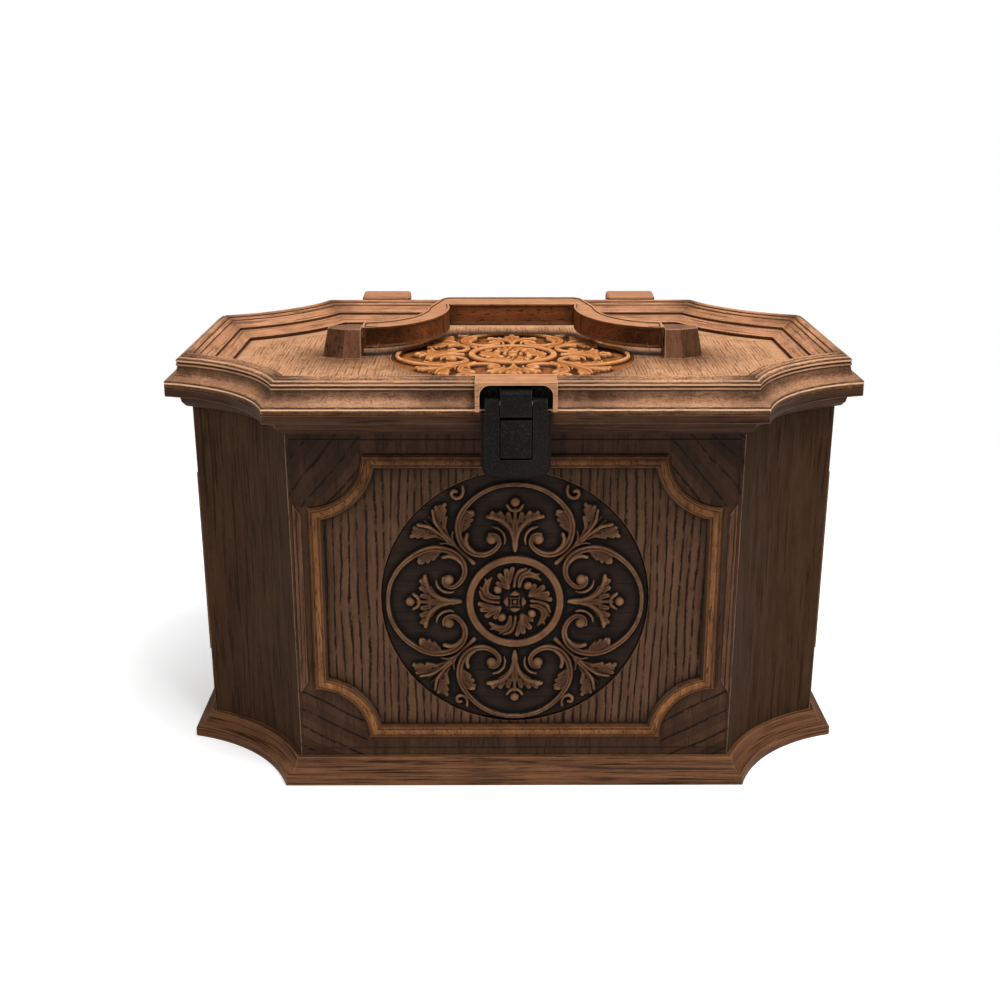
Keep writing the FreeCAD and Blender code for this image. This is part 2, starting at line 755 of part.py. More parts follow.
def build_hinges(lid_outside, body_faced, base_screws):
    """Hinge lugs on the lid, brackets on the body, their pins and screws."""
    lug_screws = []
    back = "(%s + hinge_reach)" % LIP_Y
    for side, sign in SIDES:
        centre = "%s * hinge_span_%s" % (sign, side)
        hood_sketch = path("hood_outline_" + side, (
            (LIP_Y + " - lug_front", LID_Z + " + bevel_rise"),
            (LIP_Y + " - cove_inset", LID_Z + " + hood_rise"),
            (back, LID_Z + " + hood_rise"),
            (back, LID_Z + " + lug_back_rise - lug_round"),
            (back + " - lug_round", LID_Z + " + lug_back_rise"),
            (LIP_Y + " - lug_front", LID_Z + " + lug_front_rise"),
        ), "YZ", (centre, "0", "0"))
        hood = extrude("hood_" + side, hood_sketch, "lug_width", True)
        arm = wide_box("lug_arm_" + side, "knuckle_width", (LIP_Y, HINGE_Z),
                       (back, LID_Z + " + hood_rise + " + ROOT), centre)
        barrel = rod("lug_barrel_" + side, "knuckle_radius", "knuckle_width",
                     (centre + " - knuckle_width / 2", HINGE_Y, HINGE_Z), "X")
        bore = rod("lug_bore_" + side, "hinge_pin_radius + running_clearance", "lug_width",
                   (centre + " - lug_width / 2", HINGE_Y, HINGE_Z), "X")
        pair = screw_pair("lug_screw_" + side, centre, "screw_spread", (back, LID_Z + " + cove_rise"), "-Y",
                          "hinge_reach + cove_inset + lid_wall", "wood_screw")
        lug_screws += pair
        lug = cut("lug_seated_" + side, fuse("lug_solid_" + side, [hood, arm, barrel]), lid_outside)
        nodes["hinge_lug_" + side] = cut("lug_cut_" + side, lug, fuse("lug_holes_" + side, [bore] + pair))

        pin = rod("hinge_pin_solid_" + side, "hinge_pin_radius", "lug_width",
                  (centre + " - lug_width / 2", HINGE_Y, HINGE_Z), "X")
        nodes["hinge_pin_" + side] = pin
        bracket_sketch = path("bracket_outline_" + side, (
            (WALL_Y + " - " + ROOT, "seam_height - bracket_drop"),
            (WALL_Y + " + bracket_thickness", "seam_height - bracket_drop"),
            (WALL_Y + " + bracket_thickness", "seam_height - bracket_drop + bracket_flange"),
            (HINGE_Y, "seam_height - slot_depth - bracket_thickness"),
            (HINGE_Y + " + knuckle_radius", HINGE_Z + " - knuckle_radius"),
            (HINGE_Y + " + knuckle_radius", "seam_height - rest_gap"),
            (WALL_Y + " - " + ROOT, "seam_height - rest_gap"),
        ), "YZ", (centre, "0", "0"))
        bracket = extrude("bracket_" + side, bracket_sketch, "lug_width", True)
        knuckle = rod("bracket_barrel_" + side, "knuckle_radius", "lug_width",
                      (centre + " - lug_width / 2", HINGE_Y, HINGE_Z), "X")
        slot = wide_box("bracket_slot_" + side, "(knuckle_width + 2 * knuckle_gap)",
                        (LIP_Y, HINGE_Z + " - slot_depth"),
                        (back + " + " + OVERRUN, HINGE_Z + " + knuckle_radius + " + OVERRUN), centre)
        seated = cut("bracket_seated_" + side, fuse("bracket_solid_" + side, [bracket, knuckle]), body_faced)
        nodes["hinge_base_" + side] = cut("bracket_cut_" + side, seated,
                                          fuse("bracket_holes_" + side, [slot, pin] + base_screws[side]))
    nodes["hinge_lug_screws"] = group("hinge_lug_screw_group", lug_screws)
    nodes["hinge_base_screws"] = group("hinge_base_screw_group", base_screws["left"] + base_screws["right"])


# Latch planes, measured out from the lip at the front, and heights from the seam
AXIS_Y = "-(%s + latch_axis)" % LIP_Y
AXIS_Z = "(%s + latch_axis_rise)" % LID_Z
FLAP_FRONT = "(%s + latch_axis + latch_knuckle)" % LIP_Y
FLAP_BACK = "(%s + flap_back)" % LIP_Y
FLAP_LOW = "(seam_height - flap_drop)"
WINDOW_LOW = "(seam_height - button_bottom - 2 * window_gap)"
BUTTON_LOW = "(seam_height - button_bottom)"
FLANGE_BACK = "(%s + flap_back - rest_gap - flange_thickness)" % LIP_Y
GUIDE_FRONT = "(%s - guide_inset)" % LIP_Y
GUIDE_BACK = "(%s - guide_inset - guide_thickness)" % LIP_Y
BOLT_FRONT = "(%s - slide_gap)" % GUIDE_BACK
BOLT_BACK = "(%s - slide_gap - bolt_thickness)" % GUIDE_BACK
KEEPER_FRONT = "(%s - lip_clear)" % BOLT_BACK
KEEPER_BACK = "(%s - lip_clear - keeper_lip)" % BOLT_BACK
NOSE_FRONT = "(%s - slide_gap)" % KEEPER_BACK
NOSE_BACK = "(%s - slide_gap - nose_thickness)" % KEEPER_BACK
STEM_LOW = "(seam_height - stem_level - stem_height / 2)"
STEM_TOP = "(seam_height - stem_level + stem_height / 2)"
ARM_TOP = "(%s - button_travel - rest_gap)" % STEM_LOW
ARM_LOW = "(%s - bolt_arm)" % ARM_TOP
NOSE_LOW = "(%s - nose_length)" % ARM_LOW
LIP_TOP = "(%s - lip_clear)" % ARM_LOW


def build_latch_plate():
    """Arched plate in the lid's recess, with the tab that carries the flap's pin."""
    low = LID_Z + " + tab_base"
    top = LID_Z + " + arch_top"
    half = "arch_width / 2"
    inside = "(arch_width / 2 - arch_corner)"
    plate_sketch = path("arch_outline", (
        ("-%s" % half, low), (half, low),
        (half, top + " - arch_corner", "arch_corner", 1), (inside, top),
        ("-" + inside, top, "arch_corner", 1), ("-%s" % half, top + " - arch_corner"),
    ), "XZ", ("0", "-" + LIP_Y, "0"))
    plate = extrude("arch_plate", plate_sketch, "arch_thickness")
    tab_top = LID_Z + " + tab_top"
    front = "-(%s + latch_reach)" % LIP_Y
    tab_sketch = path("tab_outline", (
        ("-" + LIP_Y, low), ("-" + LIP_Y, tab_top),
        (front + " + tab_bevel", tab_top), (front, tab_top + " - tab_bevel"), (front, low),
    ), "YZ")
    tab = extrude("tab_solid", tab_sketch, "tab_width", True)
    pin = rod("latch_pin_solid", "latch_pin_radius", "flap_width - 2 * flap_bevel",
              ("-(flap_width - 2 * flap_bevel) / 2", AXIS_Y, AXIS_Z), "X")
    screws = screw_pair("plate_screw", "0", "(arch_width + tab_width) / 4",
                        ("-(%s + arch_thickness)" % LIP_Y, top + " - arch_corner"), "Y",
                        "arch_thickness + screw_bite", "screw")
    nodes["latch_hinge_pin"] = pin
    nodes["latch_plate_screws"] = group("latch_plate_screw_group", screws)
    nodes["latch_hinge_plate"] = cut("latch_plate_cut", fuse("latch_plate_solid", [plate, tab]),
                                     fuse("latch_plate_holes", [pin] + screws))


def flap_outline(name, inset, level):
    """Outline of the flap with rounded lower corners, inset from its edge, at a plane."""
    half = "(flap_width / 2 - (%s))" % inset
    radius = "(flap_corner - (%s))" % inset
    low = "(%s + (%s))" % (FLAP_LOW, inset)
    top = LID_Z + " + flap_rise"
    inside = "(flap_width / 2 - flap_corner)"
    return path(name, (
        ("-" + inside, low), (inside, low, radius, 1), (half, low + " + " + radius), (half, top),
        ("-" + half, top), ("-" + half, low + " + " + radius, radius, 1),
    ), "XZ", ("0", "-(%s)" % level, "0"))


def post_places():
    """Where the four posts behind the flap stand, across X and up Z."""
    levels = ("seam_height - guide_drop + post_radius", "seam_height - guide_top - post_radius")
    return [("%s * post_span" % sign, level) for level in levels for _, sign in SIDES]


def build_flap():
    """Flap with its knuckles, the guide behind it, its screws and the button's spring."""
    plate = extrude("flap_plate_solid", flap_outline("flap_plate_outline", "0", FLAP_BACK), "flap_plate")
    edge = "%s + flap_plate" % FLAP_BACK
    face = loft("flap_face", [flap_outline("flap_face_0", "0", edge),
                              flap_outline("flap_face_1", "flap_bevel", FLAP_FRONT)])
    span = "(flap_width - 2 * flap_bevel)"
    shoulders = wide_box("flap_shoulders", span, ("-" + FLAP_FRONT, "seam_height"), ("-" + FLAP_BACK, AXIS_Z))
    knuckle = rod("flap_knuckle", "latch_knuckle", span, ("-%s / 2" % span, AXIS_Y, AXIS_Z), "X")
    rooted = FLAP_BACK + " + " + ROOT
    posts = [
        rod("flap_post_%d" % index, "post_radius", "%s - %s" % (rooted, GUIDE_FRONT),
            (across, "-(%s)" % rooted, level), "Y")
        for index, (across, level) in enumerate(post_places())
    ]
    window = wide_box("flap_window", "(tab_width + 2 * window_gap)",
                      ("-%s - %s" % (FLAP_FRONT, OVERRUN), WINDOW_LOW),
                      ("-%s + 2 * latch_knuckle" % FLAP_BACK, AXIS_Z + " + latch_knuckle + " + OVERRUN))
    bore = rod("flap_bore", "latch_pin_radius + running_clearance", span,
               ("-%s / 2" % span, AXIS_Y, AXIS_Z), "X")
    screws = [
        screw("guide_screw_%d" % index, (across, "-(%s)" % GUIDE_BACK, level), "-Y",
              "guide_thickness + screw_bite", "guide_screw_radius", "guide_screw_head",
              "guide_screw_head_height")
        for index, (across, level) in enumerate(post_places())
    ]
    solid = fuse("flap_solid", [plate, face, shoulders, knuckle] + posts)
    nodes["latch_flap"] = cut("flap_cut", solid, fuse("flap_holes", [window, bore] + screws))
    nodes["latch_guide_screws"] = group("latch_guide_screw_group", screws)

    sheet_plate = wide_box("guide_plate", "guide_width",
                           ("-" + GUIDE_FRONT, "seam_height - guide_drop"),
                           ("-" + GUIDE_BACK, "seam_height - guide_top"))
    rails = [
        wide_box("guide_rail_" + side, "rail_width", ("-" + GUIDE_BACK, ARM_LOW),
                 ("-" + BOLT_BACK, "seam_height - guide_top"),
                 "%s * (bolt_width / 2 + slide_gap + rail_width / 2)" % sign)
        for side, sign in SIDES
    ]
    way = wide_box("guide_way", "(stem_width + 2 * slide_gap)",
                   ("-%s - %s" % (GUIDE_FRONT, OVERRUN), STEM_LOW + " - slide_gap"),
                   ("-%s + %s" % (GUIDE_BACK, OVERRUN), STEM_TOP + " + button_travel + slide_gap"))
    nodes["latch_guide"] = cut("guide_cut", fuse("guide_solid", [sheet_plate] + rails),
                               fuse("guide_holes", [way] + screws))
    hole = "(sqrt(stem_width ^ 2 / 4 + (stem_height + button_travel) ^ 2 / 4) + slide_gap)"
    nodes["latch_button_spring"] = tube(
        "spring_sleeve", hole + " + spring_wall", hole, "%s - %s - 2 * rest_gap" % (FLANGE_BACK, GUIDE_FRONT),
        ("0", "-%s + rest_gap" % FLANGE_BACK, STEM_LOW + " + (stem_height + button_travel) / 2"), "Y")


def build_button():
    """Push button: cap, flange behind the flap and the ramped stem that lifts the bolt."""
    front = "-(%s + button_proud)" % FLAP_FRONT
    cap = wide_box("button_cap_solid", "tab_width", (front, BUTTON_LOW),
                   (front + " + button_cap", "seam_height - button_top"))
    flange_top = "seam_height - flange_top"
    body = wide_box("button_body", "tab_width", (front + " + button_cap - " + ROOT, BUTTON_LOW),
                    ("-" + FLANGE_BACK, flange_top))
    flange = wide_box("button_flange", "(tab_width + 2 * window_gap + 2 * flange_lap)",
                      ("-%s - flange_thickness" % FLANGE_BACK, WINDOW_LOW + " - flange_lap"),
                      ("-" + FLANGE_BACK, flange_top))
    ramp_foot = "-%s - slide_gap / 2" % BOLT_FRONT
    stem_sketch = path("stem_outline", (
        ("-%s - %s" % (FLANGE_BACK, ROOT), STEM_LOW),
        ("-%s" % KEEPER_FRONT, STEM_LOW), ("-%s" % KEEPER_FRONT, STEM_TOP),
        (ramp_foot, STEM_TOP), (ramp_foot + " - button_travel", STEM_TOP + " + button_travel"),
        ("-%s - %s" % (FLANGE_BACK, ROOT), STEM_TOP + " + button_travel"),
    ), "YZ")
    stem = extrude("button_stem", stem_sketch, "stem_width", True)
    nodes["latch_button"] = fuse("button_solid", [cap, body, flange, stem])


def build_bolt():
    """Bolt with a window for the stem and a nose that hooks behind the keeper's lip."""
    plate = wide_box("bolt_plate", "bolt_width", ("-" + BOLT_FRONT, ARM_LOW),
                     ("-" + BOLT_BACK, "seam_height - bolt_top"))
    arm = wide_box("bolt_arm_solid", "bolt_width", ("-%s - %s" % (BOLT_BACK, ROOT), ARM_LOW),
                   ("-" + NOSE_BACK, ARM_TOP))
    nose = wide_box("bolt_nose", "bolt_width", ("-" + NOSE_FRONT, NOSE_LOW),
                    ("-" + NOSE_BACK, "%s + %s" % (ARM_LOW, ROOT)))
    way = wide_box("bolt_way", "(stem_width + 2 * slide_gap)",
                   ("-%s - %s" % (BOLT_FRONT, OVERRUN), ARM_TOP),
                   ("-%s + %s" % (BOLT_BACK, ROOT), STEM_TOP + " + slide_gap"))
    nodes["latch_bolt"] = cut("bolt_cut", fuse("bolt_solid", [plate, arm, nose]), way)


def keeper_screws():
    """Two flush screws that hold the keeper to the front wall."""
    return screw_pair("keeper_screw", "0", "keeper_screw_spread",
                      ("-(%s + keeper_plate)" % WALL_Y,
                       "seam_height - keeper_top - screw_head - screw_head_height"), "Y",
                      "keeper_plate + screw_bite", "screw")


def build_keeper(body_faced, screws):
    """Strike on the body's front wall, with the lip that the bolt hooks behind."""
    low = "seam_height - keeper_drop"
    plate_front = "-(%s + keeper_plate)" % WALL_Y
    rooted = "-%s + %s" % (WALL_Y, ROOT)
    plate = wide_box("keeper_plate_solid", "keeper_width", (plate_front, low),
                     (rooted, "seam_height - keeper_top"))
    shelf = wide_box("keeper_shelf_solid", "keeper_width", ("-" + KEEPER_FRONT, low),
                     (rooted, low + " + keeper_shelf"))
    lip = wide_box("keeper_lip_solid", "keeper_width", ("-" + KEEPER_FRONT, low), ("-" + KEEPER_BACK, LIP_TOP))
    nodes["keeper_screws"] = group("keeper_screw_group", screws)
    seated = cut("keeper_seated", fuse("keeper_solid", [plate, shelf, lip]), body_faced)
    nodes["latch_keeper"] = cut("keeper_cut", seated, fuse("keeper_holes", screws))


def build_tray():
    """Lift-out tray, its slotted dividers and the pegs for spools of thread."""
    low = "(seam_height - tray_drop - tray_height)"
    floor = "(seam_height - tray_drop - tray_height + tray_floor)"
    top = "(seam_height - tray_drop)"
    outer_inset = "(wall_offset + wall_thickness + tray_clearance)"
    inner_inset = "(wall_offset + wall_thickness + tray_clearance + tray_wall)"
    solid = extrude("tray_solid", outline("tray_outline", outer_inset, low), "tray_height")
    well = extrude("tray_well", outline("tray_well_outline", inner_inset, floor), "tray_height")
    nodes["sewing_tray"] = cut("tray_cut", solid, well)
    half_x = "(lip_width / 2 - %s)" % inner_inset
    half_y = "(lip_depth / 2 - %s)" % inner_inset
    nodes["tray_divider_long"] = box(
        "divider_long", ("-" + half_x, "-divider_thickness / 2", floor),
        (half_x, "divider_thickness / 2", top + " - divider_drop"))
    for side, sign in SIDES:
        nodes["tray_divider_" + side] = wide_box(
            "divider_" + side, "divider_thickness", ("divider_thickness / 2", floor),
            (half_y, top + " - divider_drop"), "%s * divider_span" % sign)
    pegs = []
    for row, spacing in (("peg_row", "peg_spacing"), ("(peg_row + peg_row_gap)", "peg_front_spacing")):
        for index in range(PEGS_IN_ROW):
            column = index - (PEGS_IN_ROW - 1) / 2
            pegs.append(rod("peg_%d" % len(pegs), "peg_radius", "peg_height",
                            ("(%.1f) * %s" % (column, spacing), "-" + row, floor), "Z"))
    nodes["spool_pegs"] = group("peg_group", pegs)


def drilled(name, shell, groups):
    """Shell with a hole for each screw of several nodes."""
    for label in groups:
        for item in nodes[label].Links:
            shell = cut("%s_for_%s" % (name, item.Name), shell, item)
    return shell


def build_all():
    """Build every piece, then drill the shells for the screws that enter them."""
    build_base()
    strike_screws = keeper_screws()
    base_screws = hinge_base_screws()
    body_faced = build_body(strike_screws + base_screws["left"] + base_screws["right"])
    lid_outside, lid_faced = build_lid()
    nodes["front_medallion"] = medallion(
        "front_medallion",
        ("0", "-(%s - field_depth - front_seat_depth)" % FACE_Y, FRAME_CENTRE),
        lean("-1", "XZ") * AXES["-Y"])
    nodes["lid_medallion"] = medallion(
        "lid_medallion", ("0", "0", PANEL_Z + " - lid_seat_depth"), AXES["Z"])
    build_handle()
    build_hinges(lid_outside, body_faced, base_screws)
    build_latch_plate()
    build_flap()
    build_button()
    build_bolt()
    build_keeper(body_faced, strike_screws)
    build_tray()
    nodes["body_shell"] = body_faced
    nodes["lid_shell"] = drilled("lid", lid_faced,
                                 ("hinge_lug_screws", "latch_plate_screws", "handle_block_screws"))


def export_all():
    """Check every object and write one STEP file for each node."""
    doc.recompute()
    for item in doc.Objects:
        if "Invalid" in item.State or "Error" in item.State:
            raise RuntimeError("%s is in state %s" % (item.Name, item.State))
    os.makedirs("parts", exist_ok=True)
    for label, item in sorted(nodes.items()):
        item.Label = label
        if item.Shape.isNull() or not item.Shape.isValid():
            raise RuntimeError("%s has no valid shape" % label)
        item.Shape.exportStep("parts/%s.step" % label)
        print(label, len(item.Shape.Solids), round(item.Shape.Volume, 1))


build_all()
export_all()
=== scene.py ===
"""Looks of a moulded sewing chest with antiqued wood grain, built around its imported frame."""
import json
import logging
import math
from dataclasses import dataclass, replace
from enum import Enum, IntEnum
from typing import Callable, Sequence

import bmesh
import bpy
import numpy as np
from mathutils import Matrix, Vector


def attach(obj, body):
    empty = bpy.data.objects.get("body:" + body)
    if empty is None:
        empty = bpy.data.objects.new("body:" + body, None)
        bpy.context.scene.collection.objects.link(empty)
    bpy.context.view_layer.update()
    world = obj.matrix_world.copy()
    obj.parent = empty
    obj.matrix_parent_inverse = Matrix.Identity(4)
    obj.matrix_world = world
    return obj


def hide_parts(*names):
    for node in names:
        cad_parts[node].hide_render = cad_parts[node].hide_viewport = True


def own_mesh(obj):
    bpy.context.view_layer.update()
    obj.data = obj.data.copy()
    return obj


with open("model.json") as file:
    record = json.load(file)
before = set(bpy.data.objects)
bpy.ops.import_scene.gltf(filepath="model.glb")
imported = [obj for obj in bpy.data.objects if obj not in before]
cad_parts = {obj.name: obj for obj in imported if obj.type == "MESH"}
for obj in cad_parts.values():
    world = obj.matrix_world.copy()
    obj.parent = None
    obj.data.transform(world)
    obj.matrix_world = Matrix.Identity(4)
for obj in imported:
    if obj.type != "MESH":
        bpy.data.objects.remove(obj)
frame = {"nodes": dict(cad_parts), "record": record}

LOG = logging.getLogger("sewing_chest")
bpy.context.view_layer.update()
MM = 0.001
WHITE = (1.0, 1.0, 1.0, 1.0)
NODES: dict[str, bpy.types.Object] = frame["nodes"]
BODIES: dict[str, list[str]] = frame["record"]["behaviour"]["bodies"]
BODY_OF: dict[str, str] = {node: body for body, names in BODIES.items() for node in names}

# Heights and sizes of the chest that the looks follow, in mm
LID_FOOT = 196.3
WALL_TOP = 184.4
WALL_FOOT = 12.0
WALL_INSET = 12.0
WALL_DRAFT = 1.8
LIP_X = 178.0
LIP_Y = 121.5
CORNER_X = 199.5
CORNER_Y = 143.0
CORNER_RADIUS = 82.5
FRAME_CENTRE = 98.3
FRAME_HALF_Z = 75.4
FRAME_HALF_X = 101.4
SIDE_HALF_Y = 44.5
FRAME_CORNER = 27.0
FRAME_PROUD = 2.4
FIELD_SUNK = 0.8
PANEL_Z = 199.7
DISC_SUNK_FRONT = 2.0
DISC_SUNK_LID = 1.2

# Cells of the noises to a metre, from the finest flecks to the slow drift of a line
FLECKS = 900.0
JITTER = 260.0
PATCHES = 130.0
CLOUDS = 75.0
MOTTLES = 60.0
DRIFTS = 22.0

# Sizes of the grain that all wood finishes share, in mm
STREAK_GAP = 5.0
STREAK_LENGTH = 55.0
TURN_RADIUS = 150.0
CLEAR_FADE = 1.5
SOFT_EDGE = 0.35
# Heights over which painted shade from the lid's overhang deepens towards the top of the walls, in mm
PAINTED_SHADE_FROM = 105.0
PAINTED_SHADE_FULL = 186.0
BANDS_OUTER = 8.0
BANDS_FULL = 7.5
BANDS_WANDER = 0.5

# Sway of a bold line: stretch across the lanes, run along the grain in mm and reach in lanes
SWAYS = ((0.22, 120.0, 2.2), (0.9, 7.0, 0.3), (2.2, 1.3, 0.22))

# Values between which a mark fades in, and the least share of it where a third one stands
STREAK = (0.3, 0.68)
CLOUD = (0.46, 0.72)
BLOTCH = (0.3, 0.55, 0.5)
GROOVE = (0.94, 0.62)
EDGE = (0.992, 0.91)
BARE = (0.7, 0.92)
RUBBED = (0.7, 0.45, 0.15)
LINE_WORN = (0.36, 0.5, 0.55)
BAND_WORN = (0.3, 0.5, 0.6)
LIFTED = (0.2, 0.85)
HOLLOW = (0.0, 0.16)
CREST = (0.08, 0.38)
CREST_RUBBED = (0.62, 0.42, 0.3)
MOTTLE = (0.3, 0.7)
PLAIN_EDGE = (0.985, 0.86)
PLAIN_RUBBED = (0.7, 0.4)
PLAIN_FLECK = (0.52, 0.68)

# Spans and shares of single marks
SPECKLE_SPAN = 0.2
PORE_SPAN = 0.05
BREAK_SPAN = 0.1
LINE_CORE = 0.4
WIDE_STAIN = 0.8
# Share and raggedness of the dark patches, some of stain and some of painted shade
PATCH_DARKNESS = 0.85
PATCH_RAGGED = 0.4
MARK_SINK = -0.8

# Work on meshes: the reach of merging in mm, and angles
MERGE = 0.004
FLAT_ANGLE = math.radians(0.4)
ROUND_ANGLE = math.radians(28)
SMOOTH_ANGLE = math.radians(34)

# Cosines between a face's normal and an axis, and how far off a face's middle may lie, in mm
LEVEL = 0.98
SQUARE = 0.9
NEARLY_LEVEL = 0.85
UPWARD = 0.7
TOPMOST = 0.6
TURNED = 0.5
STEEP = 0.4
SLANTED = 0.3
ASKEW = 0.25
ASIDE = 0.2
OFF_MIDDLE = 0.2

Socket = bpy.types.NodeSocket
Tree = bpy.types.NodeTree
Axes = tuple[Socket, Socket, Socket]
Point = tuple[float, float, float]


def linear(colour: str) -> tuple[float, float, float, float]:
    """Turn an sRGB hex colour into linear values.

    Args:
        colour: Six hex digits with a leading hash.

    Returns:
        Linear red, green and blue, with an alpha of one.
    """
    parts = [int(colour[i:i + 2], 16) / 255 for i in (1, 3, 5)]
    return tuple(c / 12.92 if c <= 0.04045 else ((c + 0.055) / 1.055) ** 2.4 for c in parts) + (1.0,)


def put(tree: Tree, kind: str, inputs: dict | Sequence, out: int | str = 0, **settings: object) -> Socket:
    """Add a shader node with its settings, values and links.

    Args:
        tree: Node tree that gets the node.
        kind: Node type without its ShaderNode prefix.
        inputs: Values or output sockets for its inputs, in order or by name or number.
        out: Output to give back, by name or number.
        settings: Attributes to set on the node.

    Returns:
        The chosen output, or None for a node with no outputs.
    """
    made = tree.nodes.new("ShaderNode" + kind)
    for name, value in settings.items():
        setattr(made, name, value)
    for key, value in inputs.items() if isinstance(inputs, dict) else enumerate(inputs):
        if isinstance(value, Socket):
            tree.links.new(value, made.inputs[key])
        else:
            made.inputs[key].default_value = value
    return made.outputs[out] if len(made.outputs) else None


def new_tree(owner: bpy.types.Material | bpy.types.World) -> Tree:
    """Give an owner an empty node tree."""
    owner.use_nodes = True
    owner.node_tree.nodes.clear()
    return owner.node_tree


def edge_turn(tree: Tree, radius_mm: float) -> tuple[Socket, Socket]:
    """Find where edges turn the surface.

    Args:
        tree: Node tree that gets the nodes.
        radius_mm: How near an edge counts.

    Returns:
        The rounded normal, and how like the true one it is: one on flat faces, less at edges.
    """
    rounded = put(tree, "Bevel", {"Radius": radius_mm * MM}, samples=6)
    facing = put(tree, "NewGeometry", (), "Normal")
    return rounded, put(tree, "VectorMath", (rounded, facing), "Value", operation="DOT_PRODUCT")


class Grain(Enum):
    """Which way a grain runs."""

    UPRIGHT = "up a flat wall"
    CORNER = "up a hollow corner"
    ROUND = "around the chest"
    MOULDING = "around the lid's mouldings"
    DEPTHWISE = "front to back"
    SIDEWAYS = "side to side"


@dataclass(frozen=True)
class Pores:
    """Short dark pores along the grain: gap and length in mm, depth of colour and amount."""

    gap: float = 1.1
    length: float = 14.0
    depth: float = 0.4
    amount: float = 0.5

    def limit(self) -> float:
        """Give the noise value over which a pore shows."""
        return 0.7 - 0.2 * self.amount


@dataclass(frozen=True)
class Lines:
    """Bold wandering lines along the grain: gap in mm, depth, share of the gap, run in mm and breaks."""

    gap: float
    depth: float
    width: float
    run: float = 7.0
    breaks: float = 0.38


@dataclass(frozen=True)
class Planks:
    """Dark slanted lines between the planks of a face's corners, with sizes in mm and slopes in degrees."""

    half_width: float
    across_axis: int
    gap: float = 9.0
    upper_slope: float = 50.0
    lower_slope: float = 28.0
    outer_line: float = 0.85
    full_line: float = 0.35
    jitter: float = 1.6
    drift: float = 9.0
    shading: float = 0.55
    strength: float = 0.95
    fade: float = 1.0


@dataclass(frozen=True)
class DarkPatch:
    """A round dark patch in all four quarters, some of stain and some of painted shade: its middle, its
    fading edge and its full part, in mm.
    """

    x: float
    y: float
    outer: float
    inner: float


@dataclass(frozen=True)
class Band:
    """A line of stain, wear or painted shade on the lid's mouldings: its rise over the lid's foot and half
    its width.
    """

    rise: float
    half: float
    strength: float
    worn: bool = False


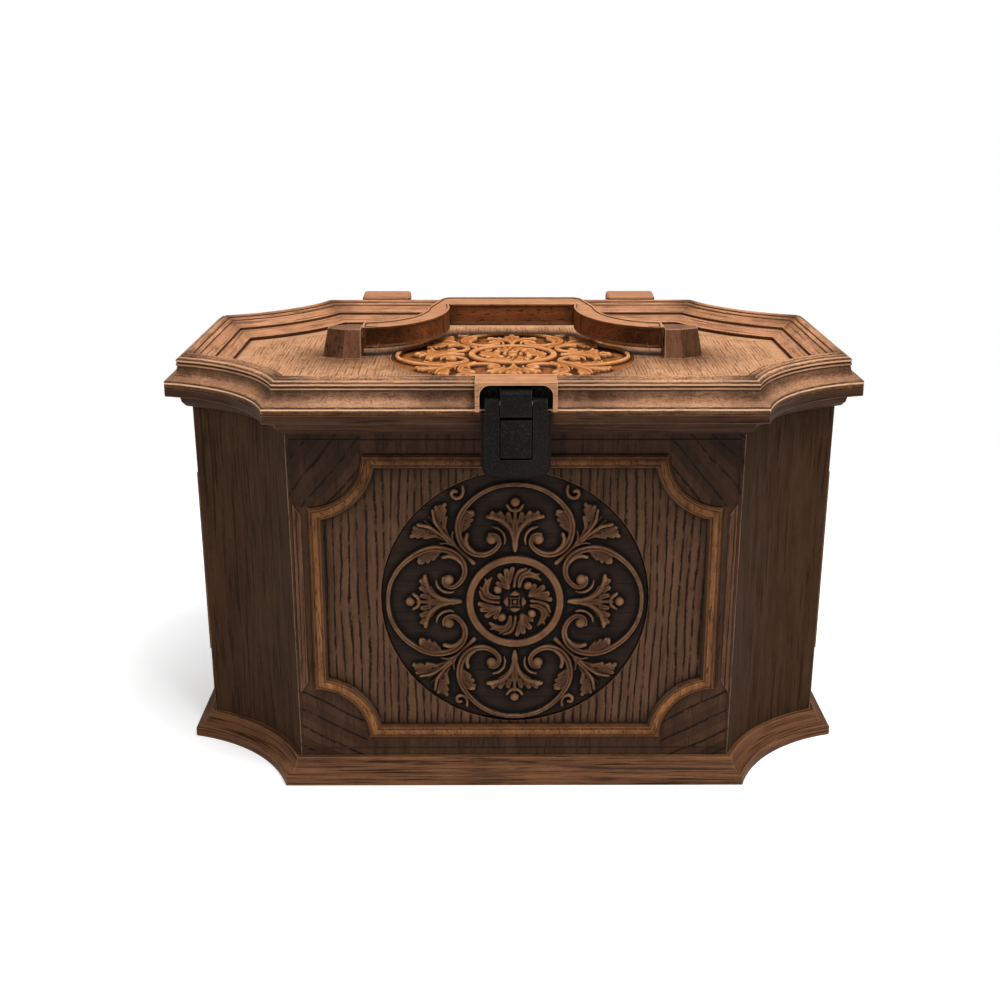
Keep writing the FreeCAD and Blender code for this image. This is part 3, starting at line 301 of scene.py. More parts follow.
@dataclass(frozen=True)
class WoodFinish:
    """Moulded polystyrene with a wood grain, stained dark in its hollows and rubbed pale on its edges, with
    painted shade where a finish asks for it.
    """

    name: str
    light: str
    mid: str
    dark: str
    worn: str
    grain: Grain
    pores: Pores = Pores()
    lines: Lines | None = None
    planks: Planks | None = None
    speckle: float = 0.25
    speckle_from: float = 0.55
    stain_and_shade_depth: float = 0.8
    stain_reach_mm: float = 6.0
    groove_reach_mm: float = 1.6
    wear_depth: float = 0.6
    wear_radius_mm: float = 0.8
    roughness: float = 0.52
    specular: float = 0.1
    bump_mm: float = 0.25
    clear_edge_mm: float = 0.0
    blotch: float = 0.25
    # Strength of the painted shade at the top of the walls, under the lid
    painted_shade_top: float = 0.0
    stain_from: float = 0.9
    stain_span: float = 0.4
    dark_patches: tuple[DarkPatch, ...] = ()
    bands: tuple[Band, ...] = ()
    raised: str | None = None

    def build(self) -> bpy.types.Material:
        """Make the material's nodes.

        Returns:
            The finished material.
        """
        material = bpy.data.materials.new(self.name)
        tree = new_tree(material)
        place = put(tree, "TexCoord", (), "Object")
        grain = self.axes(tree, place)
        patch = put(tree, "TexNoise", {"Vector": place, "Scale": PATCHES, "Detail": 6.0, "Roughness": 0.7})
        fleck = put(tree, "TexNoise", {"Vector": place, "Scale": FLECKS, "Detail": 3.0, "Roughness": 0.7})
        cloud = put(tree, "TexNoise", {"Vector": place, "Scale": CLOUDS, "Detail": 8.0, "Roughness": 0.75})
        flecks = put(tree, "MapRange", (fleck, self.speckle_from, self.speckle_from + SPECKLE_SPAN, 0.0,
                                        self.speckle))
        marks = put(tree, "Math", (self.marks(tree, place, grain), flecks), operation="MAXIMUM")
        clouded = put(tree, "MapRange", (cloud, *CLOUD, 0.0, self.blotch))
        colour = self.tone(tree, grain)
        for share in (marks, clouded):
            colour = put(tree, "Mix", {0: share, 6: colour, 7: linear(self.dark)}, 2, data_type="RGBA")
        colour = self.rub(tree, colour, patch) if self.raised else self.age(tree, colour, patch, place)
        if self.bands:
            colour = self.moulding_lines(tree, colour, patch, place)
        height = put(tree, "Math", (marks, MARK_SINK, fleck), operation="MULTIPLY_ADD")
        soft = put(tree, "Bevel", {"Radius": SOFT_EDGE * MM}, samples=4)
        bump = put(tree, "Bump", {"Strength": 0.6, "Distance": self.bump_mm * MM, "Height": height,
                                  "Normal": soft})
        rough = put(tree, "MapRange", {0: patch, 3: self.roughness - 0.1, 4: self.roughness + 0.12})
        shader = put(tree, "BsdfPrincipled", {"Base Color": colour, "Roughness": rough, "IOR": 1.5,
                                              "Specular IOR Level": self.specular, "Normal": bump})
        put(tree, "OutputMaterial", {"Surface": shader})
        return material

    def axes(self, tree: Tree, place: Socket) -> Axes:
        """Find the places across and along the grain, in metres.

        Args:
            tree: Node tree that gets the nodes.
            place: Object coordinates.

        Returns:
            Place across the grain, a second place across it, and the place along it.
        """
        x, y, z = [put(tree, "SeparateXYZ", (place,), i) for i in range(3)]
        if self.grain is Grain.DEPTHWISE:
            return x, z, y
        if self.grain is Grain.SIDEWAYS:
            return put(tree, "Math", (y, z), operation="ADD"), y, x
        if self.grain is Grain.UPRIGHT:
            return put(tree, "Math", (x, y), operation="ADD"), y, z
        front = put(tree, "Math", (y, -1.0), operation="MULTIPLY")
        turn = put(tree, "Math", (x, front), operation="ARCTAN2")
        around = put(tree, "Math", (turn, TURN_RADIUS * MM), operation="MULTIPLY")
        if self.grain is Grain.CORNER:
            return around, put(tree, "Math", (x,), operation="SIGN"), z
        inset = self.inset(tree, place)
        return (z, inset, around) if self.grain is Grain.ROUND else (inset, z, around)

    @staticmethod
    def inset(tree: Tree, place: Socket) -> Socket:
        """Find how far a place lies in from the lip's outline in plan.

        Args:
            tree: Node tree that gets the nodes.
            place: Object coordinates.

        Returns:
            The distance in metres.
        """
        folded = put(tree, "VectorMath", (place,), operation="ABSOLUTE")
        far = [put(tree, "SeparateXYZ", (folded,), i) for i in range(2)]
        sides = [put(tree, "Math", (half * MM, away), operation="SUBTRACT")
                 for half, away in zip((LIP_X, LIP_Y), far)]
        offset = put(tree, "CombineXYZ", [put(tree, "Math", (away, middle * MM), operation="SUBTRACT")
                                          for middle, away in zip((CORNER_X, CORNER_Y), far)])
        reach = put(tree, "VectorMath", (offset,), "Value", operation="LENGTH")
        from_corner = put(tree, "Math", (reach, CORNER_RADIUS * MM), operation="SUBTRACT")
        nearest = put(tree, "Math", sides, operation="MINIMUM")
        return put(tree, "Math", (nearest, from_corner), operation="MINIMUM")

    @staticmethod
    def stretched(tree: Tree, grain: Axes, gap_mm: float, length_mm: float) -> Socket:
        """Stretch places along the grain, for a noise whose cells are long and narrow.

        Args:
            tree: Node tree that gets the nodes.
            grain: Places across and along the grain.
            gap_mm: Width of a cell.
            length_mm: Length of a cell.

        Returns:
            The stretched places.
        """
        cells = (gap_mm * MM, gap_mm * MM, length_mm * MM)
        return put(tree, "CombineXYZ", [put(tree, "Math", pair, operation="DIVIDE")
                                        for pair in zip(grain, cells)])

    def tone(self, tree: Tree, grain: Axes) -> Socket:
        """Give the streaky base colour that runs along the grain.

        Args:
            tree: Node tree that gets the nodes.
            grain: Places across and along the grain.

        Returns:
            The colour.
        """
        at = self.stretched(tree, grain, STREAK_GAP, STREAK_LENGTH)
        streak = put(tree, "TexNoise", {"Vector": at, "Scale": 1.0, "Detail": 6.0, "Roughness": 0.65})
        share = put(tree, "MapRange", (streak, *STREAK))
        return put(tree, "Mix", {0: share, 6: linear(self.mid), 7: linear(self.light)}, 2, data_type="RGBA")

    def marks(self, tree: Tree, place: Socket, grain: Axes) -> Socket:
        """Draw the short pores, the bold lines and any plank lines.

        Args:
            tree: Node tree that gets the nodes.
            place: Object coordinates in metres.
            grain: Places across and along the grain.

        Returns:
            Mask of all the dark marks.
        """
        at = self.stretched(tree, grain, self.pores.gap, self.pores.length)
        pore = put(tree, "TexNoise", {"Vector": at, "Scale": 1.0, "Detail": 3.0, "Roughness": 0.6})
        limit = self.pores.limit()
        marks = put(tree, "MapRange", (pore, limit - PORE_SPAN, limit + PORE_SPAN, 0.0, self.pores.depth))
        if self.lines is not None:
            bold = self.bold_lines(tree, grain, self.lines)
            marks = put(tree, "Math", (marks, bold), operation="MAXIMUM")
        if self.clear_edge_mm:
            clear = put(tree, "MapRange", (self.inset(tree, place), self.clear_edge_mm * MM,
                                           (self.clear_edge_mm + CLEAR_FADE) * MM))
            marks = put(tree, "Math", (marks, clear), operation="MULTIPLY")
        if self.planks is not None:
            slanted = self.plank_lines(tree, place, self.planks)
            marks = put(tree, "Math", (marks, slanted), operation="MAXIMUM")
        return marks

    @staticmethod
    def bold_lines(tree: Tree, grain: Axes, lines: Lines) -> Socket:
        """Draw wandering dark lines along the grain, broken here and there.

        Args:
            tree: Node tree that gets the nodes.
            grain: Places across and along the grain.
            lines: Sizes of the lines.

        Returns:
            Mask of the lines.
        """
        across, _, along = grain
        lanes = put(tree, "Math", (across, lines.gap * MM), operation="DIVIDE")
        swayed = lanes
        for stretch, run, sway in SWAYS:
            at = put(tree, "CombineXYZ", (put(tree, "Math", (lanes, stretch), operation="MULTIPLY"),
                                          put(tree, "Math", (along, run * MM), operation="DIVIDE")))
            drift = put(tree, "TexNoise", {"Vector": at, "Scale": 1.0, "Detail": 3.0})
            swayed = put(tree, "Math", (drift, sway, swayed), operation="MULTIPLY_ADD")
        wave = put(tree, "Math", (swayed, 0.5), operation="PINGPONG")
        run = put(tree, "Math", (along, lines.run * MM), operation="DIVIDE")
        at = put(tree, "CombineXYZ", (lanes, run))
        breaks = put(tree, "TexNoise", {"Vector": at, "Scale": 1.0, "Detail": 4.0})
        depth = put(tree, "MapRange", (breaks, lines.breaks - BREAK_SPAN, lines.breaks + BREAK_SPAN, 0.0,
                                       lines.depth))
        bold = put(tree, "MapRange", (wave, lines.width, lines.width * LINE_CORE))
        return put(tree, "Math", (bold, depth), operation="MULTIPLY")

    @staticmethod
    def plank_lines(tree: Tree, place: Socket, planks: Planks) -> Socket:
        """Draw the slanted plank lines in the four corners outside a frame.

        Args:
            tree: Node tree that gets the nodes.
            place: Object coordinates in metres.
            planks: Where the lines lie and how they slope.

        Returns:
            Mask of the lines.
        """
        out, up = [put(tree, "SeparateXYZ", (place,), axis) for axis in (planks.across_axis, 2)]
        out = put(tree, "Math", (out,), operation="ABSOLUTE")
        up = put(tree, "Math", (up, FRAME_CENTRE * MM), operation="SUBTRACT")
        sloped = []
        for slope, sign in ((planks.lower_slope, -1.0), (planks.upper_slope, 1.0)):
            angle = math.radians(slope)
            lean = put(tree, "Math", (out, sign * math.sin(angle)), operation="MULTIPLY")
            sloped.append(put(tree, "Math", (up, math.cos(angle), lean), operation="MULTIPLY_ADD"))
        upper = put(tree, "Math", (up, 0.0), operation="GREATER_THAN")
        moved = put(tree, "Mix", {0: upper, 2: sloped[0], 3: sloped[1]}, 0, data_type="FLOAT")
        jitter = put(tree, "TexNoise", {"Vector": place, "Scale": JITTER, "Detail": 5.0})
        drift = put(tree, "TexNoise", {"Vector": place, "Scale": DRIFTS, "Detail": 1.0})
        for noise, reach in ((jitter, planks.jitter), (drift, planks.drift)):
            moved = put(tree, "Math", (noise, reach * MM, moved), operation="MULTIPLY_ADD")
        near = put(tree, "Math", (moved, planks.gap * MM / 2), operation="PINGPONG")
        line = put(tree, "MapRange", (near, planks.outer_line * MM, planks.full_line * MM))
        line = put(tree, "Math", (line, put(tree, "MapRange", (jitter, *LINE_WORN))), operation="MULTIPLY")
        row = put(tree, "Math", (moved, planks.gap * MM), operation="DIVIDE")
        row = put(tree, "Math", (put(tree, "Math", (row, 0.5), operation="ADD"),), operation="FLOOR")
        shade = put(tree, "TexWhiteNoise", {"W": row}, "Value", noise_dimensions="1D")
        shade = put(tree, "Math", (shade, planks.shading), operation="MULTIPLY")
        line = put(tree, "Math", (shade, line), operation="MAXIMUM")
        height = put(tree, "Math", (up,), operation="ABSOLUTE")
        for away, start, strength in ((height, FRAME_HALF_Z - FRAME_CORNER, planks.strength),
                                      (out, planks.half_width - FRAME_CORNER, 1.0)):
            beyond = put(tree, "MapRange", (away, start * MM, (start + planks.fade) * MM, 0.0, strength))
            line = put(tree, "Math", (line, beyond), operation="MULTIPLY")
        return line

    def age(self, tree: Tree, colour: Socket, patch: Socket, place: Socket) -> Socket:
        """Stain the hollows dark, add painted shade under the lid and in dark patches, and rub the open edges
        pale.

        Args:
            tree: Node tree that gets the nodes.
            colour: Colour so far.
            patch: Blotchy noise that breaks both up.
            place: Object coordinates in metres.

        Returns:
            The aged colour.
        """
        wide, narrow = [
            put(tree, "AmbientOcclusion", {"Distance": reach * MM}, "AO", only_local=True, samples=8)
            for reach in (self.stain_reach_mm, self.groove_reach_mm)]
        soft = put(tree, "MapRange", (wide, self.stain_from, self.stain_from - self.stain_span, 0.0,
                                      WIDE_STAIN * self.stain_and_shade_depth))
        spots = [self.spot(tree, dark_patch, patch, place) for dark_patch in self.dark_patches]
        # Painted shade from the lid's overhang: the walls darken towards the top
        if self.painted_shade_top:
            up = put(tree, "SeparateXYZ", (place,), 2)
            spots.append(put(tree, "MapRange", (up, PAINTED_SHADE_FROM * MM, PAINTED_SHADE_FULL * MM, 0.0, self.painted_shade_top)))
        for spot in spots:
            soft = put(tree, "Math", (soft, spot), operation="MAXIMUM")
        soft = put(tree, "Math", (soft, put(tree, "MapRange", (patch, *BLOTCH))), operation="MULTIPLY")
        sharp = put(tree, "MapRange", (narrow, *GROOVE, 0.0, self.stain_and_shade_depth))
        # This dark share holds the stain in the hollows and the painted shade together
        stain = put(tree, "Math", (soft, sharp), operation="MAXIMUM")
        colour = put(tree, "Mix", {0: stain, 6: colour, 7: linear(self.dark)}, 2, data_type="RGBA")
        edge = put(tree, "MapRange", (edge_turn(tree, self.wear_radius_mm)[1], *EDGE, 0.0, self.wear_depth))
        for noise, limits in ((narrow, BARE), (patch, RUBBED)):
            left = put(tree, "MapRange", (noise, *limits))
            edge = put(tree, "Math", (edge, left), operation="MULTIPLY")
        return put(tree, "Mix", {0: edge, 6: colour, 7: linear(self.worn)}, 2, data_type="RGBA")

    def spot(self, tree: Tree, dark_patch: DarkPatch, patch: Socket, place: Socket) -> Socket:
        """Draw a ragged round dark patch, of stain or of painted shade.

        Args:
            tree: Node tree that gets the nodes.
            dark_patch: Where it lies and how wide it is.
            patch: Blotchy noise that makes its edge ragged.
            place: Object coordinates in metres.

        Returns:
            Mask of the stain.
        """
        flat = put(tree, "VectorMath", (place, (1.0, 1.0, 0.0)), operation="MULTIPLY")
        folded = put(tree, "VectorMath", (flat,), operation="ABSOLUTE")
        middle = (dark_patch.x * MM, dark_patch.y * MM, 0.0)
        offset = put(tree, "VectorMath", (folded, middle), operation="SUBTRACT")
        reach = put(tree, "VectorMath", (offset,), "Value", operation="LENGTH")
        wander = PATCH_RAGGED * dark_patch.outer * MM
        ragged = put(tree, "Math", (patch, wander, reach), operation="MULTIPLY_ADD")
        edges = [size * MM + wander / 2 for size in (dark_patch.outer, dark_patch.inner)]
        return put(tree, "MapRange", (ragged, *edges, 0.0, PATCH_DARKNESS * self.stain_and_shade_depth))

    def moulding_lines(self, tree: Tree, colour: Socket, patch: Socket, place: Socket) -> Socket:
        """Draw lines of stain, wear and painted shade along the lid's outer mouldings.

        Args:
            tree: Node tree that gets the nodes.
            colour: Colour so far.
            patch: Blotchy noise that makes the lines uneven.
            place: Object coordinates in metres.

        Returns:
            The colour with the lines.
        """
        outer = put(tree, "MapRange", (self.inset(tree, place), BANDS_OUTER * MM, BANDS_FULL * MM))
        broken = put(tree, "MapRange", (patch, *BAND_WORN))
        share = put(tree, "Math", (outer, broken), operation="MULTIPLY")
        up = put(tree, "SeparateXYZ", (place,), 2)
        uneven = put(tree, "Math", (patch, BANDS_WANDER * MM, up), operation="MULTIPLY_ADD")
        for band in self.bands:
            level = (LID_FOOT + band.rise + BANDS_WANDER / 2) * MM
            off = put(tree, "Math", (uneven, level), operation="SUBTRACT")
            off = put(tree, "Math", (off,), operation="ABSOLUTE")
            line = put(tree, "MapRange", (off, band.half * MM, band.half * MM / 2, 0.0, band.strength))
            line = put(tree, "Math", (line, share), operation="MULTIPLY")
            paint = linear(self.worn if band.worn else self.dark)
            colour = put(tree, "Mix", {0: line, 6: colour, 7: paint}, 2, data_type="RGBA")
        return colour

    def rub(self, tree: Tree, colour: Socket, patch: Socket) -> Socket:
        """Rub a raised carving pale and leave dark stain in its hollows.

        Args:
            tree: Node tree that gets the nodes.
            colour: Colour of the ground.
            patch: Blotchy noise that breaks the wear up.

        Returns:
            The aged colour.
        """
        relief, hollow, crest = [put(tree, "Attribute", (), "Fac", attribute_name=name)
                                 for name in ("relief", "hollow", "crest")]
        top = put(tree, "MapRange", (crest, *CREST, 0.0, self.wear_depth))
        rubbed = put(tree, "MapRange", (patch, *CREST_RUBBED))
        for share, paint in ((put(tree, "MapRange", (relief, *LIFTED)), self.raised),
                             (put(tree, "MapRange", (hollow, *HOLLOW, 0.0, self.stain_and_shade_depth)), self.dark),
                             (put(tree, "Math", (top, rubbed), operation="MULTIPLY"), self.worn)):
            colour = put(tree, "Mix", {0: share, 6: colour, 7: linear(paint)}, 2, data_type="RGBA")
        return colour


@dataclass(frozen=True)
class PlainFinish:
    """A plain moulded or metal surface with a fine grit and a little unevenness."""

    name: str
    colour: str
    shade: str
    edge: str
    metallic: float = 0.0
    roughness: float = 0.45
    specular: float = 0.4
    grit_mm: float = 0.6
    bump_mm: float = 0.05
    edge_depth: float = 0.0
    edge_radius_mm: float = 0.6
    fleck: float = 0.0

    def build(self) -> bpy.types.Material:
        """Make the material's nodes.

        Returns:
            The finished material.
        """
        material = bpy.data.materials.new(self.name)
        tree = new_tree(material)
        place = put(tree, "TexCoord", (), "Object")
        grit = put(tree, "TexNoise", {"Vector": place, "Scale": 1 / (self.grit_mm * MM), "Detail": 4.0})
        cloud = put(tree, "TexNoise", {"Vector": place, "Scale": MOTTLES, "Detail": 4.0})
        share = put(tree, "MapRange", (cloud, *MOTTLE))
        colour = put(tree, "Mix", {0: share, 6: linear(self.shade), 7: linear(self.colour)}, 2,
                     data_type="RGBA")
        rounded, same = edge_turn(tree, self.edge_radius_mm)
        edge = put(tree, "MapRange", (same, *PLAIN_EDGE, 0.0, self.edge_depth))
        broken = put(tree, "MapRange", (grit, *PLAIN_RUBBED))
        edge = put(tree, "Math", (edge, broken), operation="MULTIPLY")
        flecks = put(tree, "MapRange", (grit, *PLAIN_FLECK, 0.0, self.fleck))
        edge = put(tree, "Math", (edge, flecks), operation="MAXIMUM")
        colour = put(tree, "Mix", {0: edge, 6: colour, 7: linear(self.edge)}, 2, data_type="RGBA")
        bump = put(tree, "Bump", {"Strength": 0.7, "Distance": self.bump_mm * MM, "Height": grit,
                                  "Normal": rounded})
        rough = put(tree, "MapRange", {0: grit, 3: self.roughness - 0.08, 4: self.roughness + 0.08})
        shader = put(tree, "BsdfPrincipled", {"Base Color": colour, "Roughness": rough, "Normal": bump,
                                              "Metallic": self.metallic,
                                              "Specular IOR Level": self.specular})
        put(tree, "OutputMaterial", {"Surface": shader})
        return material


# Stain that has gathered beside the latch housing and in the lid's corners; on the handle, painted shade over
# the arms' ends beside the blocks and a smaller dark patch nearer the grip
LID_STAINS = (DarkPatch(34.0, 116.0, 24.0, 4.0), DarkPatch(111.0, 110.0, 19.0, 2.0), DarkPatch(167.0, 54.0, 19.0, 2.0))
ARM_SHADE_PATCHES = (DarkPatch(79.0, 0.0, 34.0, 16.0), DarkPatch(41.0, 60.0, 16.0, 2.0))

# Moulded polystyrene of the body: walnut brown, with black stain wiped into its grain, rubbed off its edges.
# The framed fields show bold wavy lines, the surround shows slanted planks, and both carry painted shade
# under the lid
FIELD = WoodFinish("stained_panel_grain", "#6a4a35", "#4f3523", "#1a0d06", "#85603f", Grain.UPRIGHT,
                   Pores(amount=0.45), Lines(4.0, 1.0, 0.19), stain_reach_mm=7.0, stain_from=0.96,
                   stain_span=0.22, stain_and_shade_depth=0.95, painted_shade_top=0.6)
SURROUND = WoodFinish("stained_surround", "#573b29", "#40291b", "#130a05", "#ab866a", Grain.UPRIGHT,
                      Pores(depth=0.6), planks=Planks(FRAME_HALF_X, 0), stain_reach_mm=9.0, wear_depth=0.9,
                      painted_shade_top=0.5)
SIDE_SURROUND = replace(SURROUND, name="stained_side_surround", planks=Planks(SIDE_HALF_Y, 1))
BORDER = replace(SURROUND, name="stained_border", light="#40291b", mid="#2c1b11", planks=None, wear_depth=0.1)

# Strips, frames and their beads: browner and rubbed, so that they stand out from the dark ground, with
# painted shade towards the top under the lid
STILE = WoodFinish("rubbed_stile", "#75503a", "#563827", "#180c06", "#a07a5c", Grain.UPRIGHT,
                   Pores(0.8, depth=0.6), Lines(2.1, 0.85, 0.2, 22.0), painted_shade_top=0.5)
FRAME_WOOD = WoodFinish("stained_frame", "#6b4428", "#4b2d19", "#190c05", "#9a6a40", Grain.UPRIGHT,
                        Pores(0.8, 5.0, 0.7, 0.55), wear_depth=0.8, painted_shade_top=0.7)
FRAME_BEAD = WoodFinish("rubbed_frame_bead", "#a36c41", "#74492a", "#241207", "#c08a5a", Grain.UPRIGHT,
                        Pores(0.9, 6.0, 0.75, 0.6), painted_shade_top=0.75, blotch=0.5)

# Hollow corners with a long fine grain, and the rim and plinth whose grain runs around the chest
CORNER = WoodFinish("stained_corner_grain", "#4d3727", "#3a2719", "#190f08", "#b08d6c", Grain.CORNER,
                    Pores(1.3, 34.0, 0.55, 0.6), specular=0.02, wear_depth=0.9)
RIM = WoodFinish("stained_rim", "#523625", "#392317", "#140a05", "#94683f", Grain.ROUND,
                 Pores(0.7, 30.0, 0.75, 0.7))
PLINTH = WoodFinish("rubbed_plinth", "#815639", "#5a3924", "#1d0f07", "#b08055", Grain.ROUND,
                    Pores(0.9, 35.0, 0.8, 0.7))

# Bare polystyrene inside: an even, slightly dull brown without stain
INSIDE = PlainFinish("moulded_inside", "#5a4030", "#4c3526", "#6a4c39", roughness=0.55, specular=0.2,
                     bump_mm=0.03)

# Front carving: nearly black ground with brown ridges whose crests are rubbed pale
CARVED_DARK = WoodFinish("carved_front", "#30211a", "#20150e", "#080402", "#8f684a", Grain.SIDEWAYS,
                         Pores(1.0, 18.0, 0.6), stain_and_shade_depth=0.95, wear_depth=0.85, raised="#5a3b26",
                         blotch=0.4)

# Orange tan polystyrene of the lid: dark lines in its mouldings, pale worn edges, a speckled lip and cove,
# and painted shade on the cove's upper part and along the lip's foot
LID_BAND = WoodFinish("tan_moulding", "#c9916b", "#a8724d", "#3a1f10", "#e6b28a", Grain.MOULDING,
                      Pores(0.7, 16.0, 0.6), Lines(2.3, 0.75, 0.15, 26.0, 0.5), stain_and_shade_depth=0.95, blotch=0.4,
                      stain_from=0.96, dark_patches=LID_STAINS,
                      bands=(Band(13.75, 0.35, 0.85), Band(13.0, 0.5, 0.9, True), Band(11.9, 0.6, 0.85),
                             Band(11.0, 0.4, 0.4, True), Band(10.4, 0.4, 0.6)))
LID_LIP = WoodFinish("stained_lip", "#b07a52", "#744829", "#281206", "#f0c29a", Grain.MOULDING,
                     Pores(0.7, 16.0, 0.75, 0.6), stain_and_shade_depth=0.9, speckle=0.7, speckle_from=0.46,
                     wear_depth=1.0, blotch=0.55,
                     # Of these bands, the two lowest are painted shade along the lip's foot
                     bands=(Band(3.1, 0.45, 0.85), Band(2.3, 0.5, 1.0, True), Band(0.5, 1.3, 0.6),
                            Band(0.0, 0.4, 0.9)))
LID_PANEL = WoodFinish("tan_panel_grain", "#cb9770", "#b5825c", "#43240f", "#dca981", Grain.DEPTHWISE,
                       Pores(0.8, 9.0, 0.5), Lines(1.9, 0.8, 0.2, 22.0, 0.5), blotch=0.45, stain_and_shade_depth=0.9,
                       stain_reach_mm=8.0, clear_edge_mm=33.5,
                       # Dark patches: a ring round the medallion, and painted shade round the feet of the
                       # handle blocks
                       dark_patches=(DarkPatch(0.0, 0.0, 82.0, 65.0), DarkPatch(93.6, 1.75, 38.0, 12.0)))
LID_ROUGH = WoodFinish("tan_speckled_cove", "#cb9875", "#a3714f", "#2c1509", "#d39d76", Grain.MOULDING,
                       Pores(0.6, 3.0, 0.6, 0.55), speckle=0.7, speckle_from=0.5, stain_and_shade_depth=0.95,
                       blotch=0.6, bump_mm=0.6, stain_from=0.98, dark_patches=LID_STAINS,
                       # Its first band is painted shade on the cove's upper part, under the beads
                       bands=(Band(10.2, 4.6, 0.55), Band(4.6, 1.0, 0.15, True), Band(3.2, 0.4, 0.85)))
LID_BEVEL = WoodFinish("stained_bevel", "#cf9b75", "#b07a55", "#240f05", "#ecba93", Grain.MOULDING,
                       Pores(0.6, 5.0, 0.7, 0.6), Lines(1.7, 0.85, 0.17, 40.0, 0.42), speckle=0.8,
                       speckle_from=0.47, stain_and_shade_depth=0.95, blotch=0.5, bump_mm=0.6, wear_depth=0.9,
                       dark_patches=LID_STAINS, bands=(Band(14.9, 0.6, 0.6, True), Band(13.8, 0.45, 0.9)))
LID_RISER = WoodFinish("stained_riser", "#5a371f", "#3d2211", "#1a0b04", "#8a5c3a", Grain.MOULDING,
                       Pores(0.6, 6.0, 0.6))
HOUSING = replace(LID_BAND, name="tan_latch_housing", light="#c9926a", mid="#a9744f", lines=None, dark_patches=(),
                  bands=(), wear_depth=0.8)
# Near-black walls of the recess in the latch housing
RECESS = WoodFinish("near_black_latch_recess", "#23150c", "#160d07", "#080402", "#4a3020", Grain.UPRIGHT)

# Lid carving: warm orange ridges over a red brown ground
CARVED_TAN = WoodFinish("carved_lid", "#9a5d2d", "#7a451c", "#351706", "#dea06c", Grain.DEPTHWISE,
                        Pores(1.0), stain_and_shade_depth=0.95, wear_depth=0.85, raised="#b36f38", blotch=0.3)

# Handle, its blocks and the hinges: tan where hands rub, brown with short pores on their sides, with painted
# shade on the arms' ends beside the blocks
HANDLE_TOP = WoodFinish("tan_handle_top", "#c58c66", "#a8734f", "#46270f", "#dca67e", Grain.SIDEWAYS,
                        Pores(0.7, 12.0, 0.5))
HANDLE_SIDE = WoodFinish("brown_handle_side", "#8c5430", "#67391d", "#1e0e05", "#c08a5e", Grain.SIDEWAYS,
                         Pores(1.1, 3.4, 0.8), stain_and_shade_depth=0.95, wear_depth=0.9, dark_patches=ARM_SHADE_PATCHES)
BLOCK_FACE = WoodFinish("brown_block_face", "#8a6045", "#684432", "#1c0e07", "#d8ac86", Grain.UPRIGHT,
                        Pores(0.8, 2.0, 0.5), wear_radius_mm=1.0, wear_depth=0.9)
BLOCK_DARK = WoodFinish("stained_block_end", "#6b4934", "#42291b", "#120904", "#d0a27c", Grain.UPRIGHT,
                        Pores(0.8, 8.0, 0.7), wear_radius_mm=1.0, wear_depth=0.9)
HINGE_TAN = WoodFinish("tan_hinge", "#b98260", "#a06c4a", "#55331d", "#d8a27a", Grain.SIDEWAYS,
                       Pores(0.8, 6.0, 0.25))

# Cast latch in hammered black: a coarse pebbled skin with grey worn edges
LATCH_BLACK = PlainFinish("hammered_black", "#15100d", "#080504", "#5c544c", roughness=0.5, specular=0.12,
                          grit_mm=0.85, bump_mm=0.9, edge_depth=0.9, fleck=0.15)

# Zinc plated steel of the screws and pins: a bright grey metal with a soft sheen
ZINC = PlainFinish("zinc_plated_steel", "#9a9a9c", "#85868a", "#b5b5b8", metallic=1.0, roughness=0.38)

# Polystyrene of the tray: warm ivory, faintly glossy
TRAY = PlainFinish("ivory_polystyrene", "#d8c7a4", "#cdb993", "#e2d4b5", roughness=0.42, edge_depth=0.4)


def deselect() -> None:
    """Clear the selection, so that an operator acts only on what is chosen next."""
    if bpy.context.object is not None and bpy.context.object.mode != "OBJECT":
        bpy.ops.object.mode_set(mode="OBJECT")
    bpy.ops.object.select_all(action="DESELECT")


def choose(piece: bpy.types.Object) -> None:
    """Make one object the only selected and active one."""
    deselect()
    piece.select_set(True)
    bpy.context.view_layer.objects.active = piece


def settle(piece: bpy.types.Object, body: str, nodes: Sequence[str] = ()) -> bpy.types.Object:
    """Let a piece ride on a body and stand for CAD nodes.

    Args:
        piece: Finished object, at the origin.
        body: Body that it moves with.
        nodes: CAD nodes that it stands for.

    Returns:
        The same object.
    """
    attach(piece, body)
    if nodes:
        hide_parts(*nodes)
    LOG.info("%s rides on %s, %d faces", piece.name, body, len(piece.data.polygons))
    return piece


